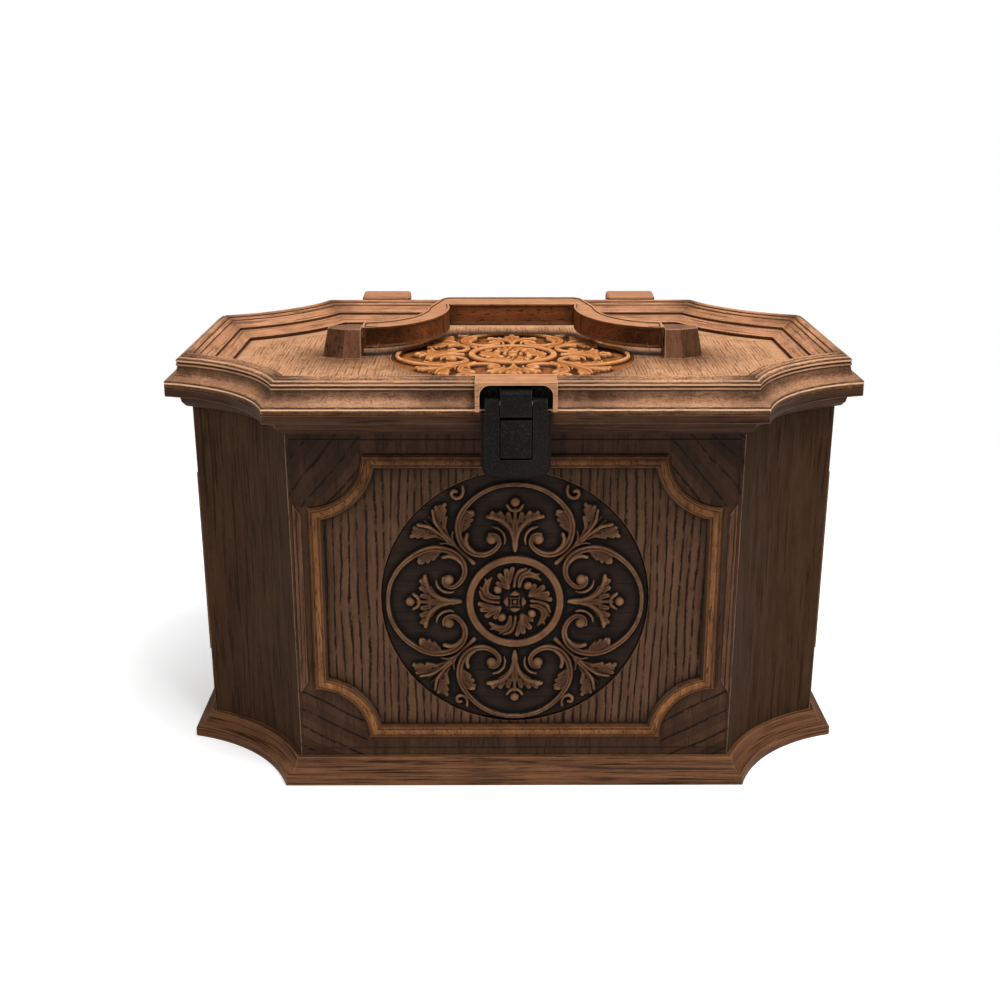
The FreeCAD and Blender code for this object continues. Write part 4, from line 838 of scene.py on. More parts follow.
class Workshop:
    """Builds materials once and makes softened copies of CAD nodes."""

    def __init__(self) -> None:
        """Start with no materials made."""
        self.made: dict[str, bpy.types.Material] = {}

    def finish(self, finish: WoodFinish | PlainFinish) -> bpy.types.Material:
        """Give a finish's material, made on its first use."""
        if finish.name not in self.made:
            self.made[finish.name] = finish.build()
        return self.made[finish.name]

    def coat(self, node: str, finish: WoodFinish | PlainFinish) -> None:
        """Put a finish on a CAD node that keeps its own shape."""
        data = NODES[node].data
        data.materials.clear()
        data.materials.append(self.finish(finish))
        LOG.info("%s keeps its shape and gets %s", node, finish.name)

    def copy(self, node: str, flatten: bool) -> bpy.types.Object:
        """Copy a CAD node and merge its triangles.

        Args:
            node: CAD node to copy.
            flatten: Whether flat faces become one.

        Returns:
            The copy, with no materials.
        """
        piece = bpy.data.objects.new(node + "_piece", NODES[node].data.copy())
        bpy.context.scene.collection.objects.link(piece)
        piece.data.materials.clear()
        choose(piece)
        bpy.ops.mesh.customdata_custom_splitnormals_clear()
        bpy.ops.object.mode_set(mode="EDIT")
        bpy.ops.mesh.select_all(action="SELECT")
        bpy.ops.mesh.remove_doubles(threshold=MERGE * MM)
        if flatten:
            bpy.ops.mesh.dissolve_limited(angle_limit=FLAT_ANGLE)
        bpy.ops.object.mode_set(mode="OBJECT")
        bpy.ops.object.shade_smooth_by_angle(angle=SMOOTH_ANGLE)
        return piece

    def recess(self, piece: bpy.types.Object, pick: Callable[[Vector], bool], slots: tuple[int, int],
               border_mm: float = 1.1, groove_mm: float = 0.55, depth_mm: float = 0.5) -> None:
        """Sink the middle of chosen faces behind a narrow border with a stained groove.

        Args:
            piece: Object to work on, already dressed.
            pick: Chooses faces by their normal.
            slots: Numbers of the finishes of the middle and of the groove.
            border_mm: Width of the border.
            groove_mm: Width of the groove's slope.
            depth_mm: How deep the middle sinks.
        """
        choose(piece)
        bpy.context.tool_settings.mesh_select_mode = (False, False, True)
        for part in (*piece.data.edges, *piece.data.vertices):
            part.select = False
        for face in piece.data.polygons:
            face.select = pick(face.normal)
        bpy.ops.object.mode_set(mode="EDIT")
        bpy.ops.mesh.inset(thickness=border_mm * MM, depth=0.0)
        piece.active_material_index = slots[1]
        bpy.ops.object.material_slot_assign()
        bpy.ops.mesh.inset(thickness=groove_mm * MM, depth=-depth_mm * MM)
        piece.active_material_index = slots[0]
        bpy.ops.object.material_slot_assign()
        bpy.ops.object.mode_set(mode="OBJECT")

    def soften(self, piece: bpy.types.Object, width_mm: float, clamp: bool = True) -> None:
        """Round the sharp edges of a piece.

        Args:
            piece: Object to round.
            width_mm: Width of the rounding.
            clamp: Whether the rounding stops where it would overlap.
        """
        choose(piece)
        bpy.ops.object.modifier_add(type="BEVEL")
        rounding = piece.modifiers[-1]
        rounding.width = width_mm * MM
        rounding.segments = 3
        rounding.limit_method = "ANGLE"
        rounding.angle_limit = ROUND_ANGLE
        rounding.use_clamp_overlap = clamp
        bpy.ops.object.modifier_apply(modifier=rounding.name)
        bpy.ops.object.shade_smooth_by_angle(angle=SMOOTH_ANGLE)

    def dress(self, piece: bpy.types.Object, finishes: Sequence[WoodFinish | PlainFinish],
              pick: Callable[[Vector, Vector], int]) -> None:
        """Give each face the finish of its place.

        Args:
            piece: Object to dress.
            finishes: Finishes in the order of the numbers that pick returns.
            pick: Chooses a finish by a face's centre in mm and its normal.
        """
        for finish in finishes:
            piece.data.materials.append(self.finish(finish))
        for face in piece.data.polygons:
            face.material_index = pick(face.center / MM, face.normal)

    def bead(self, name: str, path: Sequence[Point], radius: float, finish: WoodFinish) -> bpy.types.Object:
        """Sweep a thin round bead along a closed path.

        Args:
            name: Name of the piece.
            path: Closed path, a row of points in metres.
            radius: Radius of the bead in mm.
            finish: Its finish.

        Returns:
            The bead as a mesh.
        """
        curve = bpy.data.curves.new(name, "CURVE")
        curve.dimensions = "3D"
        curve.bevel_depth = radius * MM
        curve.bevel_resolution = 2
        spline = curve.splines.new("POLY")
        spline.points.add(len(path) - 1)
        spline.use_cyclic_u = True
        for point, at in zip(spline.points, path):
            point.co = (*at, 1.0)
        piece = bpy.data.objects.new(name, curve)
        bpy.context.scene.collection.objects.link(piece)
        choose(piece)
        bpy.ops.object.convert(target="MESH")
        bpy.ops.object.shade_smooth()
        piece = bpy.context.object
        piece.data.materials.append(self.finish(finish))
        return piece


def smooth_line(points: Sequence[tuple[float, float]], steps: int = 8) -> np.ndarray:
    """Draw a smooth line through points.

    Args:
        points: Points in the plane, in mm.
        steps: Pieces between two points.

    Returns:
        Points along the line, one row each.
    """
    given = np.array(points, float)
    ends = np.vstack([2 * given[0] - given[1], given, 2 * given[-1] - given[-2]])
    drawn = []
    for i in range(1, len(ends) - 2):
        a, b, c, d = ends[i - 1:i + 3]
        for t in np.linspace(0, 1, steps, endpoint=False):
            drawn.append(0.5 * (2 * b + (c - a) * t + (2 * a - 5 * b + 4 * c - d) * t ** 2
                                + (3 * b - a - 3 * c + d) * t ** 3))
    return np.vstack([drawn, ends[-2]])


@dataclass(frozen=True)
class Stroke:
    """A rounded ridge of the carving: points of its line, half widths along it, height and middle groove."""

    points: tuple[tuple[float, float], ...]
    widths: tuple[float, ...]
    height: float
    groove: float = 0.0


# Palmette, half of it, drawn on the north arm in mm from the design's middle
PALMETTE = (
    Stroke(((0.8, 33.0), (2.4, 38.5), (5.4, 42.2), (9.4, 43.9), (12.8, 44.4)),
           (0.9, 1.2, 1.3, 1.3, 0.8), 0.95, 0.2),
    Stroke(((1.4, 38.5), (3.8, 43.0), (7.8, 45.2), (12.0, 45.6)), (1.2, 2.0, 1.9, 1.0), 0.7, 0.3),
    Stroke(((2.6, 43.0), (3.2, 46.2)), (1.7, 1.5), 0.9, 0.35),
    Stroke(((6.0, 44.0), (7.2, 46.6)), (1.6, 1.4), 0.88, 0.35),
    Stroke(((9.6, 44.6), (11.0, 46.6)), (1.5, 1.3), 0.86, 0.35),
    Stroke(((11.2, 44.8), (13.6, 44.7)), (1.4, 0.9), 0.9),
    Stroke(((2.0, 36.0), (4.6, 39.8), (8.0, 41.8)), (0.5, 0.9, 0.5), 0.6),
    Stroke(((0.6, 47.8), (2.4, 48.7), (3.9, 50.8)), (1.2, 1.2, 0.7), 0.85),
)

# One side of a scroll with its volute, horn, crescent and inner leaf. Above its waist it stretches from the
# rise that it is drawn with to its own crown
SCROLL_BAND = ((10.2, 59.7), (19.3, 54.8), (25.8, 47.4), (28.1, 39.8), (26.6, 31.7), (22.2, 26.5),
               (16.3, 24.9), (11.2, 26.6), (8.0, 30.4), (8.2, 33.6), (10.0, 35.3), (12.4, 35.4))
SCROLL_WAIST = 45.0
SCROLL_RISE = 16.2
SCROLL_WIDTHS = (1.1, 1.25, 1.6, 1.9, 1.9, 1.6, 1.4, 1.3, 1.2, 1.1)
SCROLL_PARTS = (
    Stroke(((11.4, 32.9), (11.6, 33.0)), (2.9, 2.9), 1.0),
    Stroke(((20.2, 26.6), (23.0, 29.2), (24.2, 32.5), (23.6, 35.6)), (0.8, 1.2, 1.3, 1.0), 0.85),
    Stroke(((27.0, 36.5), (26.6, 42.0), (24.6, 46.0), (21.4, 47.6)), (1.2, 2.1, 2.0, 1.1), 0.8, 0.35),
    Stroke(((25.6, 38.2), (22.6, 40.6)), (1.3, 1.0), 0.78, 0.35),
    Stroke(((25.2, 41.2), (21.4, 43.2)), (1.5, 1.2), 0.82, 0.35),
    Stroke(((24.0, 44.4), (20.8, 46.0)), (1.6, 1.2), 0.86, 0.35),
    Stroke(((22.4, 47.4), (20.6, 47.4)), (1.2, 0.8), 0.9),
    Stroke(((11.0, 39.3), (8.0, 38.4), (5.6, 35.8), (4.9, 32.6), (5.4, 30.4)),
           (0.4, 0.75, 0.8, 0.7, 0.4), 0.72),
)

# Half of the leaf spray between two arms, drawn on its own middle line
SPRAY = (
    Stroke(((0.4, 45.5), (2.4, 52.5), (5.8, 58.2), (9.4, 61.2)), (0.9, 1.9, 2.3, 1.2), 0.75, 0.45),
    Stroke(((0.6, 46.0), (0.8, 52.0), (2.0, 57.6), (5.2, 62.4)), (0.7, 0.9, 1.1, 0.8), 0.92),
    Stroke(((3.0, 52.6), (7.4, 55.4)), (1.2, 1.0), 0.82, 0.35),
    Stroke(((5.0, 56.2), (9.8, 58.4)), (1.4, 1.1), 0.86, 0.35),
    Stroke(((7.0, 59.2), (11.6, 60.4)), (1.5, 1.1), 0.9, 0.35),
    Stroke(((5.4, 58.6), (7.6, 62.4)), (1.5, 1.1), 0.88, 0.35),
    Stroke(((0.6, 42.5), (1.8, 45.6), (4.6, 47.9)), (0.5, 0.8, 0.4), 0.7),
    Stroke(((0.3, 50.0), (0.7, 56.0), (1.5, 61.5)), (0.3, 0.6, 0.4), 0.45),
    Stroke(((2.4, 34.6), (4.6, 38.6), (5.0, 42.6)), (0.4, 0.7, 0.3), 0.5),
)

# One quarter of the rosette, which turns the same way all round
ROSETTE = (
    Stroke(((-4.2, 8.0), (-8.4, 9.8)), (1.5, 1.4), 0.85, 0.35),
    Stroke(((-4.4, 9.6), (-7.4, 13.8)), (1.8, 1.6), 0.92, 0.4),
    Stroke(((-3.8, 10.6), (-4.2, 16.2)), (1.8, 1.6), 0.95, 0.4),
    Stroke(((-3.0, 10.8), (-1.2, 17.6)), (1.6, 1.4), 0.9, 0.35),
    Stroke(((-3.4, 7.6), (-3.6, 12.0)), (1.4, 1.8), 0.8),
    Stroke(((-0.4, 8.2), (0.2, 12.5), (2.0, 16.0), (5.6, 17.6)), (1.0, 1.2, 1.3, 0.8), 0.75),
    Stroke(((2.2, 8.2), (3.0, 12.4), (5.6, 14.6), (9.4, 13.9), (12.6, 11.6)),
           (1.0, 1.8, 2.2, 1.8, 0.5), 0.9, 0.4),
    Stroke(((4.2, 14.2), (7.6, 17.2)), (1.2, 0.8), 0.7),
    Stroke(((8.4, 13.6), (12.0, 14.8)), (1.2, 0.7), 0.7),
    Stroke(((6.4, 8.5), (6.6, 8.6)), (2.4, 2.4), 1.0),
    Stroke(((-1.9, 3.9), (0.0, 4.4), (1.9, 3.9)), (0.5, 1.5, 0.5), 1.0),
    Stroke(((-2.6, 2.2), (0.0, 1.9), (2.6, 2.2)), (0.4, 0.7, 0.4), 0.7),
)

# Bud in the middle, the stem, neck and bead of an arm, and the stem of a spray
MIDDLE = Stroke(((0.0, 0.0), (0.1, 0.1)), (1.3, 1.3), 0.9)
ARM = (
    Stroke(((0.0, 27.0), (0.0, 31.0), (0.0, 36.0), (0.0, 42.0)), (0.9, 1.9, 1.7, 2.6), 0.9, 0.3),
    Stroke(((0.0, 42.0), (0.0, 48.5)), (1.3, 1.2), 0.8),
    Stroke(((0.0, 52.0), (0.1, 52.2)), (2.6, 2.6), 1.0),
)
SPRAY_STEM = Stroke(((0.0, 29.0), (0.0, 38.0), (0.0, 46.0)), (1.2, 0.8, 1.2), 0.75, 0.3)

# Small spiral curl above and below, to one side of the middle, and how far each is drawn in
CURL = Stroke(((25.6, 60.2), (25.4, 57.4), (26.6, 54.9), (29.2, 54.2), (31.0, 55.8), (30.4, 57.8),
               (28.6, 57.6)),
              (0.8, 0.9, 1.0, 1.0, 1.0, 0.9), 0.75)
CURL_SCALES = (1.0, 0.95)


@dataclass
class CarvedDisc:
    """Carved medallion, in mm: a ring with a rosette, four scrolls with palmettes and leaf sprays."""

    name: str
    node: str
    finish: WoodFinish
    origin: Point
    east: Point
    north: Point
    outward: Point
    radius: float = 66.4
    margin: float = 1.03
    cells: int = 310
    blur_cells: int = 4
    ground: float = 1.0
    relief: float = 2.6
    drop: float = 1.2
    ring_outer: float = 24.6
    ring_inner: float = 20.4
    ring_slope: float = 0.6
    ring_height: float = 0.88
    boss_radius: float = 6.8
    boss_height: float = 0.35
    crown_power: float = 0.55
    groove_width: float = 0.32
    scroll_tops: tuple[float, ...] = (61.2, 63.4, 63.2, 63.4)

    def build(self, shop: Workshop) -> bpy.types.Object:
        """Model the disc from a grid whose points are raised to the carving.

        Args:
            shop: Maker of materials.

        Returns:
            The finished piece.
        """
        deselect()
        bpy.ops.mesh.primitive_grid_add(x_subdivisions=self.cells, y_subdivisions=self.cells,
                                        size=2 * self.margin * self.radius * MM)
        piece = bpy.context.object
        piece.name = self.name
        count = len(piece.data.vertices)
        points = np.zeros(count * 3, np.float32)
        piece.data.vertices.foreach_get("co", points)
        points = points.reshape(-1, 3).astype(float) / MM
        self.x = points[:, 0]
        self.y = points[:, 1] + self.drop
        self.height = np.zeros(count)
        self.carve()
        side = round(math.sqrt(count))
        blurred = self.blur(self.height.reshape(side, side), self.blur_cells).ravel()
        values = {"relief": self.height, "crest": self.height - blurred, "hollow": blurred - self.height}
        for name, value in values.items():
            attribute = piece.data.attributes.new(name, "FLOAT", "POINT")
            attribute.data.foreach_set("value", np.clip(value, 0, 1).astype(np.float32))
        points[:, 2] = self.ground + self.relief * self.height
        piece.data.vertices.foreach_set("co", (points * MM).astype(np.float32).ravel())
        self.trim(piece, np.hypot(points[:, 0], points[:, 1]))
        moved = np.zeros(len(piece.data.vertices) * 3, np.float32)
        piece.data.vertices.foreach_get("co", moved)
        axes = np.array([self.east, self.north, self.outward])
        moved = moved.reshape(-1, 3).astype(float) @ axes + np.array(self.origin) * MM
        piece.data.vertices.foreach_set("co", moved.astype(np.float32).ravel())
        piece.data.update()
        piece.data.materials.append(shop.finish(self.finish))
        choose(piece)
        bpy.ops.object.shade_smooth()
        return settle(piece, BODY_OF[self.node], [self.node])

    @staticmethod
    def blur(field: np.ndarray, reach: int) -> np.ndarray:
        """Average a square field over a few cells each way, twice.

        Args:
            field: Heights on the grid.
            reach: Cells to each side.

        Returns:
            The averaged field.
        """
        for axis in (0, 1, 0, 1):
            padded = np.pad(field, [(reach, reach) if a == axis else (0, 0) for a in (0, 1)], mode="edge")
            size = field.shape[axis]
            shifted = [np.take(padded, range(i, i + size), axis=axis) for i in range(2 * reach + 1)]
            field = np.mean(shifted, axis=0)
        return field

    def trim(self, piece: bpy.types.Object, far: np.ndarray) -> None:
        """Cut the grid to a round disc and close it with a rim and a back.

        Args:
            piece: Grid with its carving.
            far: Distance of each point from the middle, in mm.
        """
        edit = bmesh.new()
        edit.from_mesh(piece.data)
        edit.verts.ensure_lookup_table()
        bmesh.ops.delete(edit, geom=[v for v in edit.verts if far[v.index] > self.radius], context="VERTS")
        for point in [v for v in edit.verts if v.is_boundary]:
            reach = math.hypot(point.co.x, point.co.y)
            point.co.x *= self.radius * MM / reach
            point.co.y *= self.radius * MM / reach
        walls = bmesh.ops.extrude_edge_only(edit, edges=[e for e in edit.edges if e.is_boundary])
        for point in [v for v in walls["geom"] if isinstance(v, bmesh.types.BMVert)]:
            point.co.z = 0.0
        bmesh.ops.holes_fill(edit, edges=[e for e in edit.edges if e.is_boundary], sides=0)
        bmesh.ops.recalc_face_normals(edit, faces=edit.faces)
        edit.to_mesh(piece.data)
        edit.free()

    def raise_stroke(self, stroke: Stroke, turn: float = 0.0, mirror: bool = False) -> None:
        """Raise one rounded ridge on the points of the grid.

        Args:
            stroke: Ridge, drawn on the north arm.
            turn: Turn about the design's middle in degrees, anticlockwise.
            mirror: Whether it is mirrored across the north arm first.
        """
        line = smooth_line(stroke.points) * np.array([-1.0 if mirror else 1.0, 1.0])
        c, s = math.cos(math.radians(turn)), math.sin(math.radians(turn))
        line = line @ np.array([[c, s], [-s, c]])
        half = np.interp(np.linspace(0, 1, len(line)), np.linspace(0, 1, len(stroke.widths)), stroke.widths)
        wide = half.max()
        low, high = line.min(axis=0) - wide, line.max(axis=0) + wide
        here = np.flatnonzero((self.x > low[0]) & (self.x < high[0]) & (self.y > low[1]) & (self.y < high[1]))
        px, py = self.x[here], self.y[here]
        best = np.full(here.size, np.inf)
        for i in range(len(line) - 1):
            (ax, ay), (bx, by) = line[i], line[i + 1]
            dx, dy = bx - ax, by - ay
            t = np.clip(((px - ax) * dx + (py - ay) * dy) / (dx * dx + dy * dy + 1e-12), 0, 1)
            away = np.hypot(px - ax - t * dx, py - ay - t * dy)
            best = np.minimum(best, away / (half[i] + (half[i + 1] - half[i]) * t))
        crown = np.clip(1 - best ** 2, 0, 1) ** self.crown_power * stroke.height
        crown *= 1 - stroke.groove * np.exp(-(best / self.groove_width) ** 2)
        self.height[here] = np.maximum(self.height[here], crown)

    def carve(self) -> None:
        """Raise the whole design on the points of the grid."""
        far = np.hypot(self.x, self.y)
        slope = np.minimum(far - self.ring_inner, self.ring_outer - far) / self.ring_slope
        boss = self.boss_height * np.clip(1 - (far / self.boss_radius) ** 2, 0, 1) ** 0.5
        self.height = np.maximum(self.ring_height * np.clip(slope, 0, 1) ** 0.7, boss)
        self.raise_stroke(MIDDLE)
        for quarter, top in enumerate(self.scroll_tops):
            turn = -90.0 * quarter
            for stroke in (*ROSETTE, *ARM, self.scroll(top)):
                self.raise_stroke(stroke, turn)
            self.raise_stroke(SPRAY_STEM, turn - 45.0)
            for mirror in (False, True):
                for stroke in SCROLL_PARTS + PALMETTE:
                    self.raise_stroke(stroke, turn, mirror)
                for stroke in SPRAY:
                    self.raise_stroke(stroke, turn - 45.0, mirror)
                if quarter % 2 == 0:
                    self.raise_stroke(self.curl(CURL_SCALES[quarter // 2]), turn, mirror)

    @staticmethod
    def curl(scale: float) -> Stroke:
        """Draw the small curl, drawn in towards the middle by a scale."""
        return replace(CURL, points=tuple((scale * x, scale * y) for x, y in CURL.points))

    @staticmethod
    def scroll(top: float) -> Stroke:
        """Draw a scroll's band in one sweep from volute to volute.

        Args:
            top: How far its crown lies from the middle, in mm.

        Returns:
            The band.
        """
        grow = (top - SCROLL_WAIST) / SCROLL_RISE
        half = [(x, SCROLL_WAIST + (y - SCROLL_WAIST) * grow if y > SCROLL_WAIST else y)
                for x, y in SCROLL_BAND]
        left = tuple((-x, y) for x, y in reversed(half))
        return Stroke(left + ((0.0, top),) + tuple(half), SCROLL_WIDTHS[::-1] + SCROLL_WIDTHS, 0.95, 0.5)


def wall_inset(z: float) -> float:
    """Give how far a drafted wall stands in from the lip at a height, in mm."""
    return WALL_INSET + WALL_DRAFT * (WALL_TOP - z) / (WALL_TOP - WALL_FOOT)


def lip_distance(at: Vector) -> float:
    """Give how far a place lies in from the lip's outline in plan, in mm."""
    edge = max(abs(at.x) - LIP_X, abs(at.y) - LIP_Y)
    return min(-edge, math.hypot(abs(at.x) - CORNER_X, abs(at.y) - CORNER_Y) - CORNER_RADIUS)


def hollow_corners(middle: tuple[float, float], radius: float, low: float, high: float,
                   steps: int) -> list[tuple[float, float]]:
    """Outline of a shape whose four corners are hollow arcs.

    Args:
        middle: Middle of one corner's arc, which the others mirror, in mm.
        radius: Radius of the arcs in mm.
        low: Least angle of an arc, in radians.
        high: Greatest angle of an arc.
        steps: Points of an arc.

    Returns:
        Points of one turn, in mm.
    """
    points = []
    for quarter, (sx, sy) in enumerate(((1, 1), (-1, 1), (-1, -1), (1, -1))):
        angles = np.linspace(high, low, steps)
        for angle in (angles if quarter % 2 == 0 else angles[::-1]):
            points.append((sx * (middle[0] - radius * math.cos(angle)),
                           sy * (middle[1] - radius * math.sin(angle))))
    return points


class BodyFace(IntEnum):
    """Kinds of faces of the body, in the order of their finishes."""

    SURROUND = 0
    SIDE_SURROUND = 1
    FIELD = 2
    FRAME = 3
    CORNER = 4
    RIM = 5
    INSIDE = 6


@dataclass
class ChestBody:
    """Walls with framed faces, rim, plinth and what is fixed to them, in mm."""

    shop: Workshop
    rim_width: float = 15.5
    wall_depth: float = 3.2
    corner_depth: float = 0.6
    field_depth: float = 0.35
    frame_rise: float = 0.2
    corner_points: int = 14
    bead_radius: float = 2.1
    bead_inset: float = 3.45
    bead_sunk: float = 1.3
    border_reach: float = 7.5
    border_radius: float = 0.5
    border_head: float = 3.4
    border_foot: float = 4.6
    stile_gap: float = 3.4
    stile_width: float = 3.9
    stile_proud: float = 1.1
    stile_rooted: float = 0.4
    inner_mitre: float = -4.0
    outer_mitre: float = 2.0
    stile_rounding: float = 0.3

    def build(self) -> None:
        """Dress the body's pieces and add the thin mouldings of its faces."""
        piece = self.shop.copy("body_shell", False)
        self.shop.dress(piece, (SURROUND, SIDE_SURROUND, FIELD, FRAME_WOOD, CORNER, RIM, INSIDE), self.region)
        settle(piece, "chest", ["body_shell"])
        self.shop.coat("base_plinth", PLINTH)
        for node in ("hinge_base_left", "hinge_base_right"):
            self.shop.coat(node, RIM)
        for node in ("latch_keeper", "keeper_screws", "hinge_base_screws", "hinge_pin_left",
                     "hinge_pin_right"):
            self.shop.coat(node, ZINC)
        for face, half, axis, sign in (("front", FRAME_HALF_X, 0, -1), ("back", FRAME_HALF_X, 0, 1),
                                       ("left", SIDE_HALF_Y, 1, -1), ("right", SIDE_HALF_Y, 1, 1)):
            beads = [self.on_face(across, FRAME_CENTRE + up, FRAME_PROUD - self.bead_sunk, axis, sign)
                     for across, up in self.frame_path(half, self.bead_inset)]
            edge = half + self.border_reach
            head, foot = WALL_TOP - self.border_head, WALL_FOOT + self.border_foot
            border = [self.on_face(across, up, 0.0, axis, sign)
                      for across, up in ((edge, head), (-edge, head), (-edge, foot), (edge, foot))]
            for name, path, radius, finish in (("_frame_beads", beads, self.bead_radius, FRAME_BEAD),
                                               ("_border", border, self.border_radius, BORDER)):
                settle(self.shop.bead(face + name, path, radius, finish), "chest")
            self.stiles(face, half, axis, sign)

    def region(self, centre: Vector, normal: Vector) -> BodyFace:
        """Choose a body face's finish by its place.

        Args:
            centre: Middle of the face in mm.
            normal: Its outward direction.

        Returns:
            Kind of the face.
        """
        if centre.z > WALL_TOP - OFF_MIDDLE:
            return BodyFace.RIM if lip_distance(centre) < self.rim_width else BodyFace.INSIDE
        outward = normal.x * centre.x + normal.y * centre.y
        along_x, along_y = abs(normal.x), abs(normal.y)
        if outward < 0 and max(along_x, along_y) > TURNED:
            return BodyFace.INSIDE
        inset = wall_inset(centre.z)
        facing_front = abs(centre.y) * LIP_X > abs(centre.x) * LIP_Y
        depth = (LIP_Y - inset - abs(centre.y)) if facing_front else (LIP_X - inset - abs(centre.x))
        if depth > self.wall_depth and min(along_x, along_y) < ASIDE and max(along_x, along_y) > SQUARE:
            return BodyFace.INSIDE
        if min(along_x, along_y) > ASKEW and depth > self.corner_depth:
            return BodyFace.CORNER
        if depth > self.field_depth:
            return BodyFace.FIELD
        if depth < -self.frame_rise:
            return BodyFace.FRAME
        return BodyFace.SURROUND if facing_front else BodyFace.SIDE_SURROUND

    @staticmethod
    def on_face(across: float, up: float, out: float, axis: int, sign: int) -> Point:
        """Place a point of a face's own plane in the frame.

        Args:
            across: Distance along the face from its middle, in mm.
            up: Height over the floor, in mm.
            out: Distance out of the wall, in mm.
            axis: Axis along the face, 0 for X and 1 for Y.
            sign: Side of the chest.

        Returns:
            The point in metres.
        """
        depth = sign * ((LIP_Y if axis == 0 else LIP_X) - wall_inset(up) + out)
        return (across * MM, depth * MM, up * MM) if axis == 0 else (depth * MM, across * MM, up * MM)

    def frame_path(self, half: float, inset: float) -> list[tuple[float, float]]:
        """Outline of a frame with hollow corners, inset from its outer edge.

        Args:
            half: Half the frame's width in mm.
            inset: Distance in from the outer edge in mm.

        Returns:
            Points of one turn, across and up from the frame's middle.
        """
        radius = FRAME_CORNER + inset
        first = math.asin(inset / radius)
        return hollow_corners((half, FRAME_HALF_Z), radius, first, math.pi / 2 - first, self.corner_points)

    def stiles(self, face: str, half: float, axis: int, sign: int) -> None:
        """Add the raised strips beside a frame, mitred at their ends.

        Args:
            face: Name of the face.
            half: Half the frame's width in mm.
            axis: Axis along the face.
            sign: Side of the chest.
        """
        inner = half + self.stile_gap
        reach = FRAME_HALF_Z - FRAME_CORNER
        for side, word in ((-1, "left"), (1, "right")):
            deselect()
            bpy.ops.mesh.primitive_cube_add(size=1.0)
            piece = bpy.context.object
            piece.name = "%s_stile_%s" % (face, word)
            for point in piece.data.vertices:
                across = inner if point.co.x < 0 else inner + self.stile_width
                end = reach + (self.inner_mitre if point.co.x < 0 else self.outer_mitre)
                out = self.stile_proud if point.co.y > 0 else -self.stile_rooted
                up = FRAME_CENTRE + (end if point.co.z > 0 else -end)
                point.co = self.on_face(side * across, up, out, axis, sign)
            choose(piece)
            bpy.ops.object.mode_set(mode="EDIT")
            bpy.ops.mesh.select_all(action="SELECT")
            bpy.ops.mesh.normals_make_consistent(inside=False)
            bpy.ops.mesh.bevel(offset=self.stile_rounding * MM, segments=2)
            bpy.ops.object.mode_set(mode="OBJECT")
            bpy.ops.object.shade_smooth_by_angle(angle=SMOOTH_ANGLE)
            piece.data.materials.append(self.shop.finish(STILE))
            settle(piece, "chest")


class LidFace(IntEnum):
    """Kinds of faces of the lid, in the order of their finishes."""

    BAND = 0
    PANEL = 1
    COVE = 2
    INSIDE = 3
    BEVEL = 4
    LIP = 5
    RISER = 6
    RECESS = 7
    HOUSING = 8


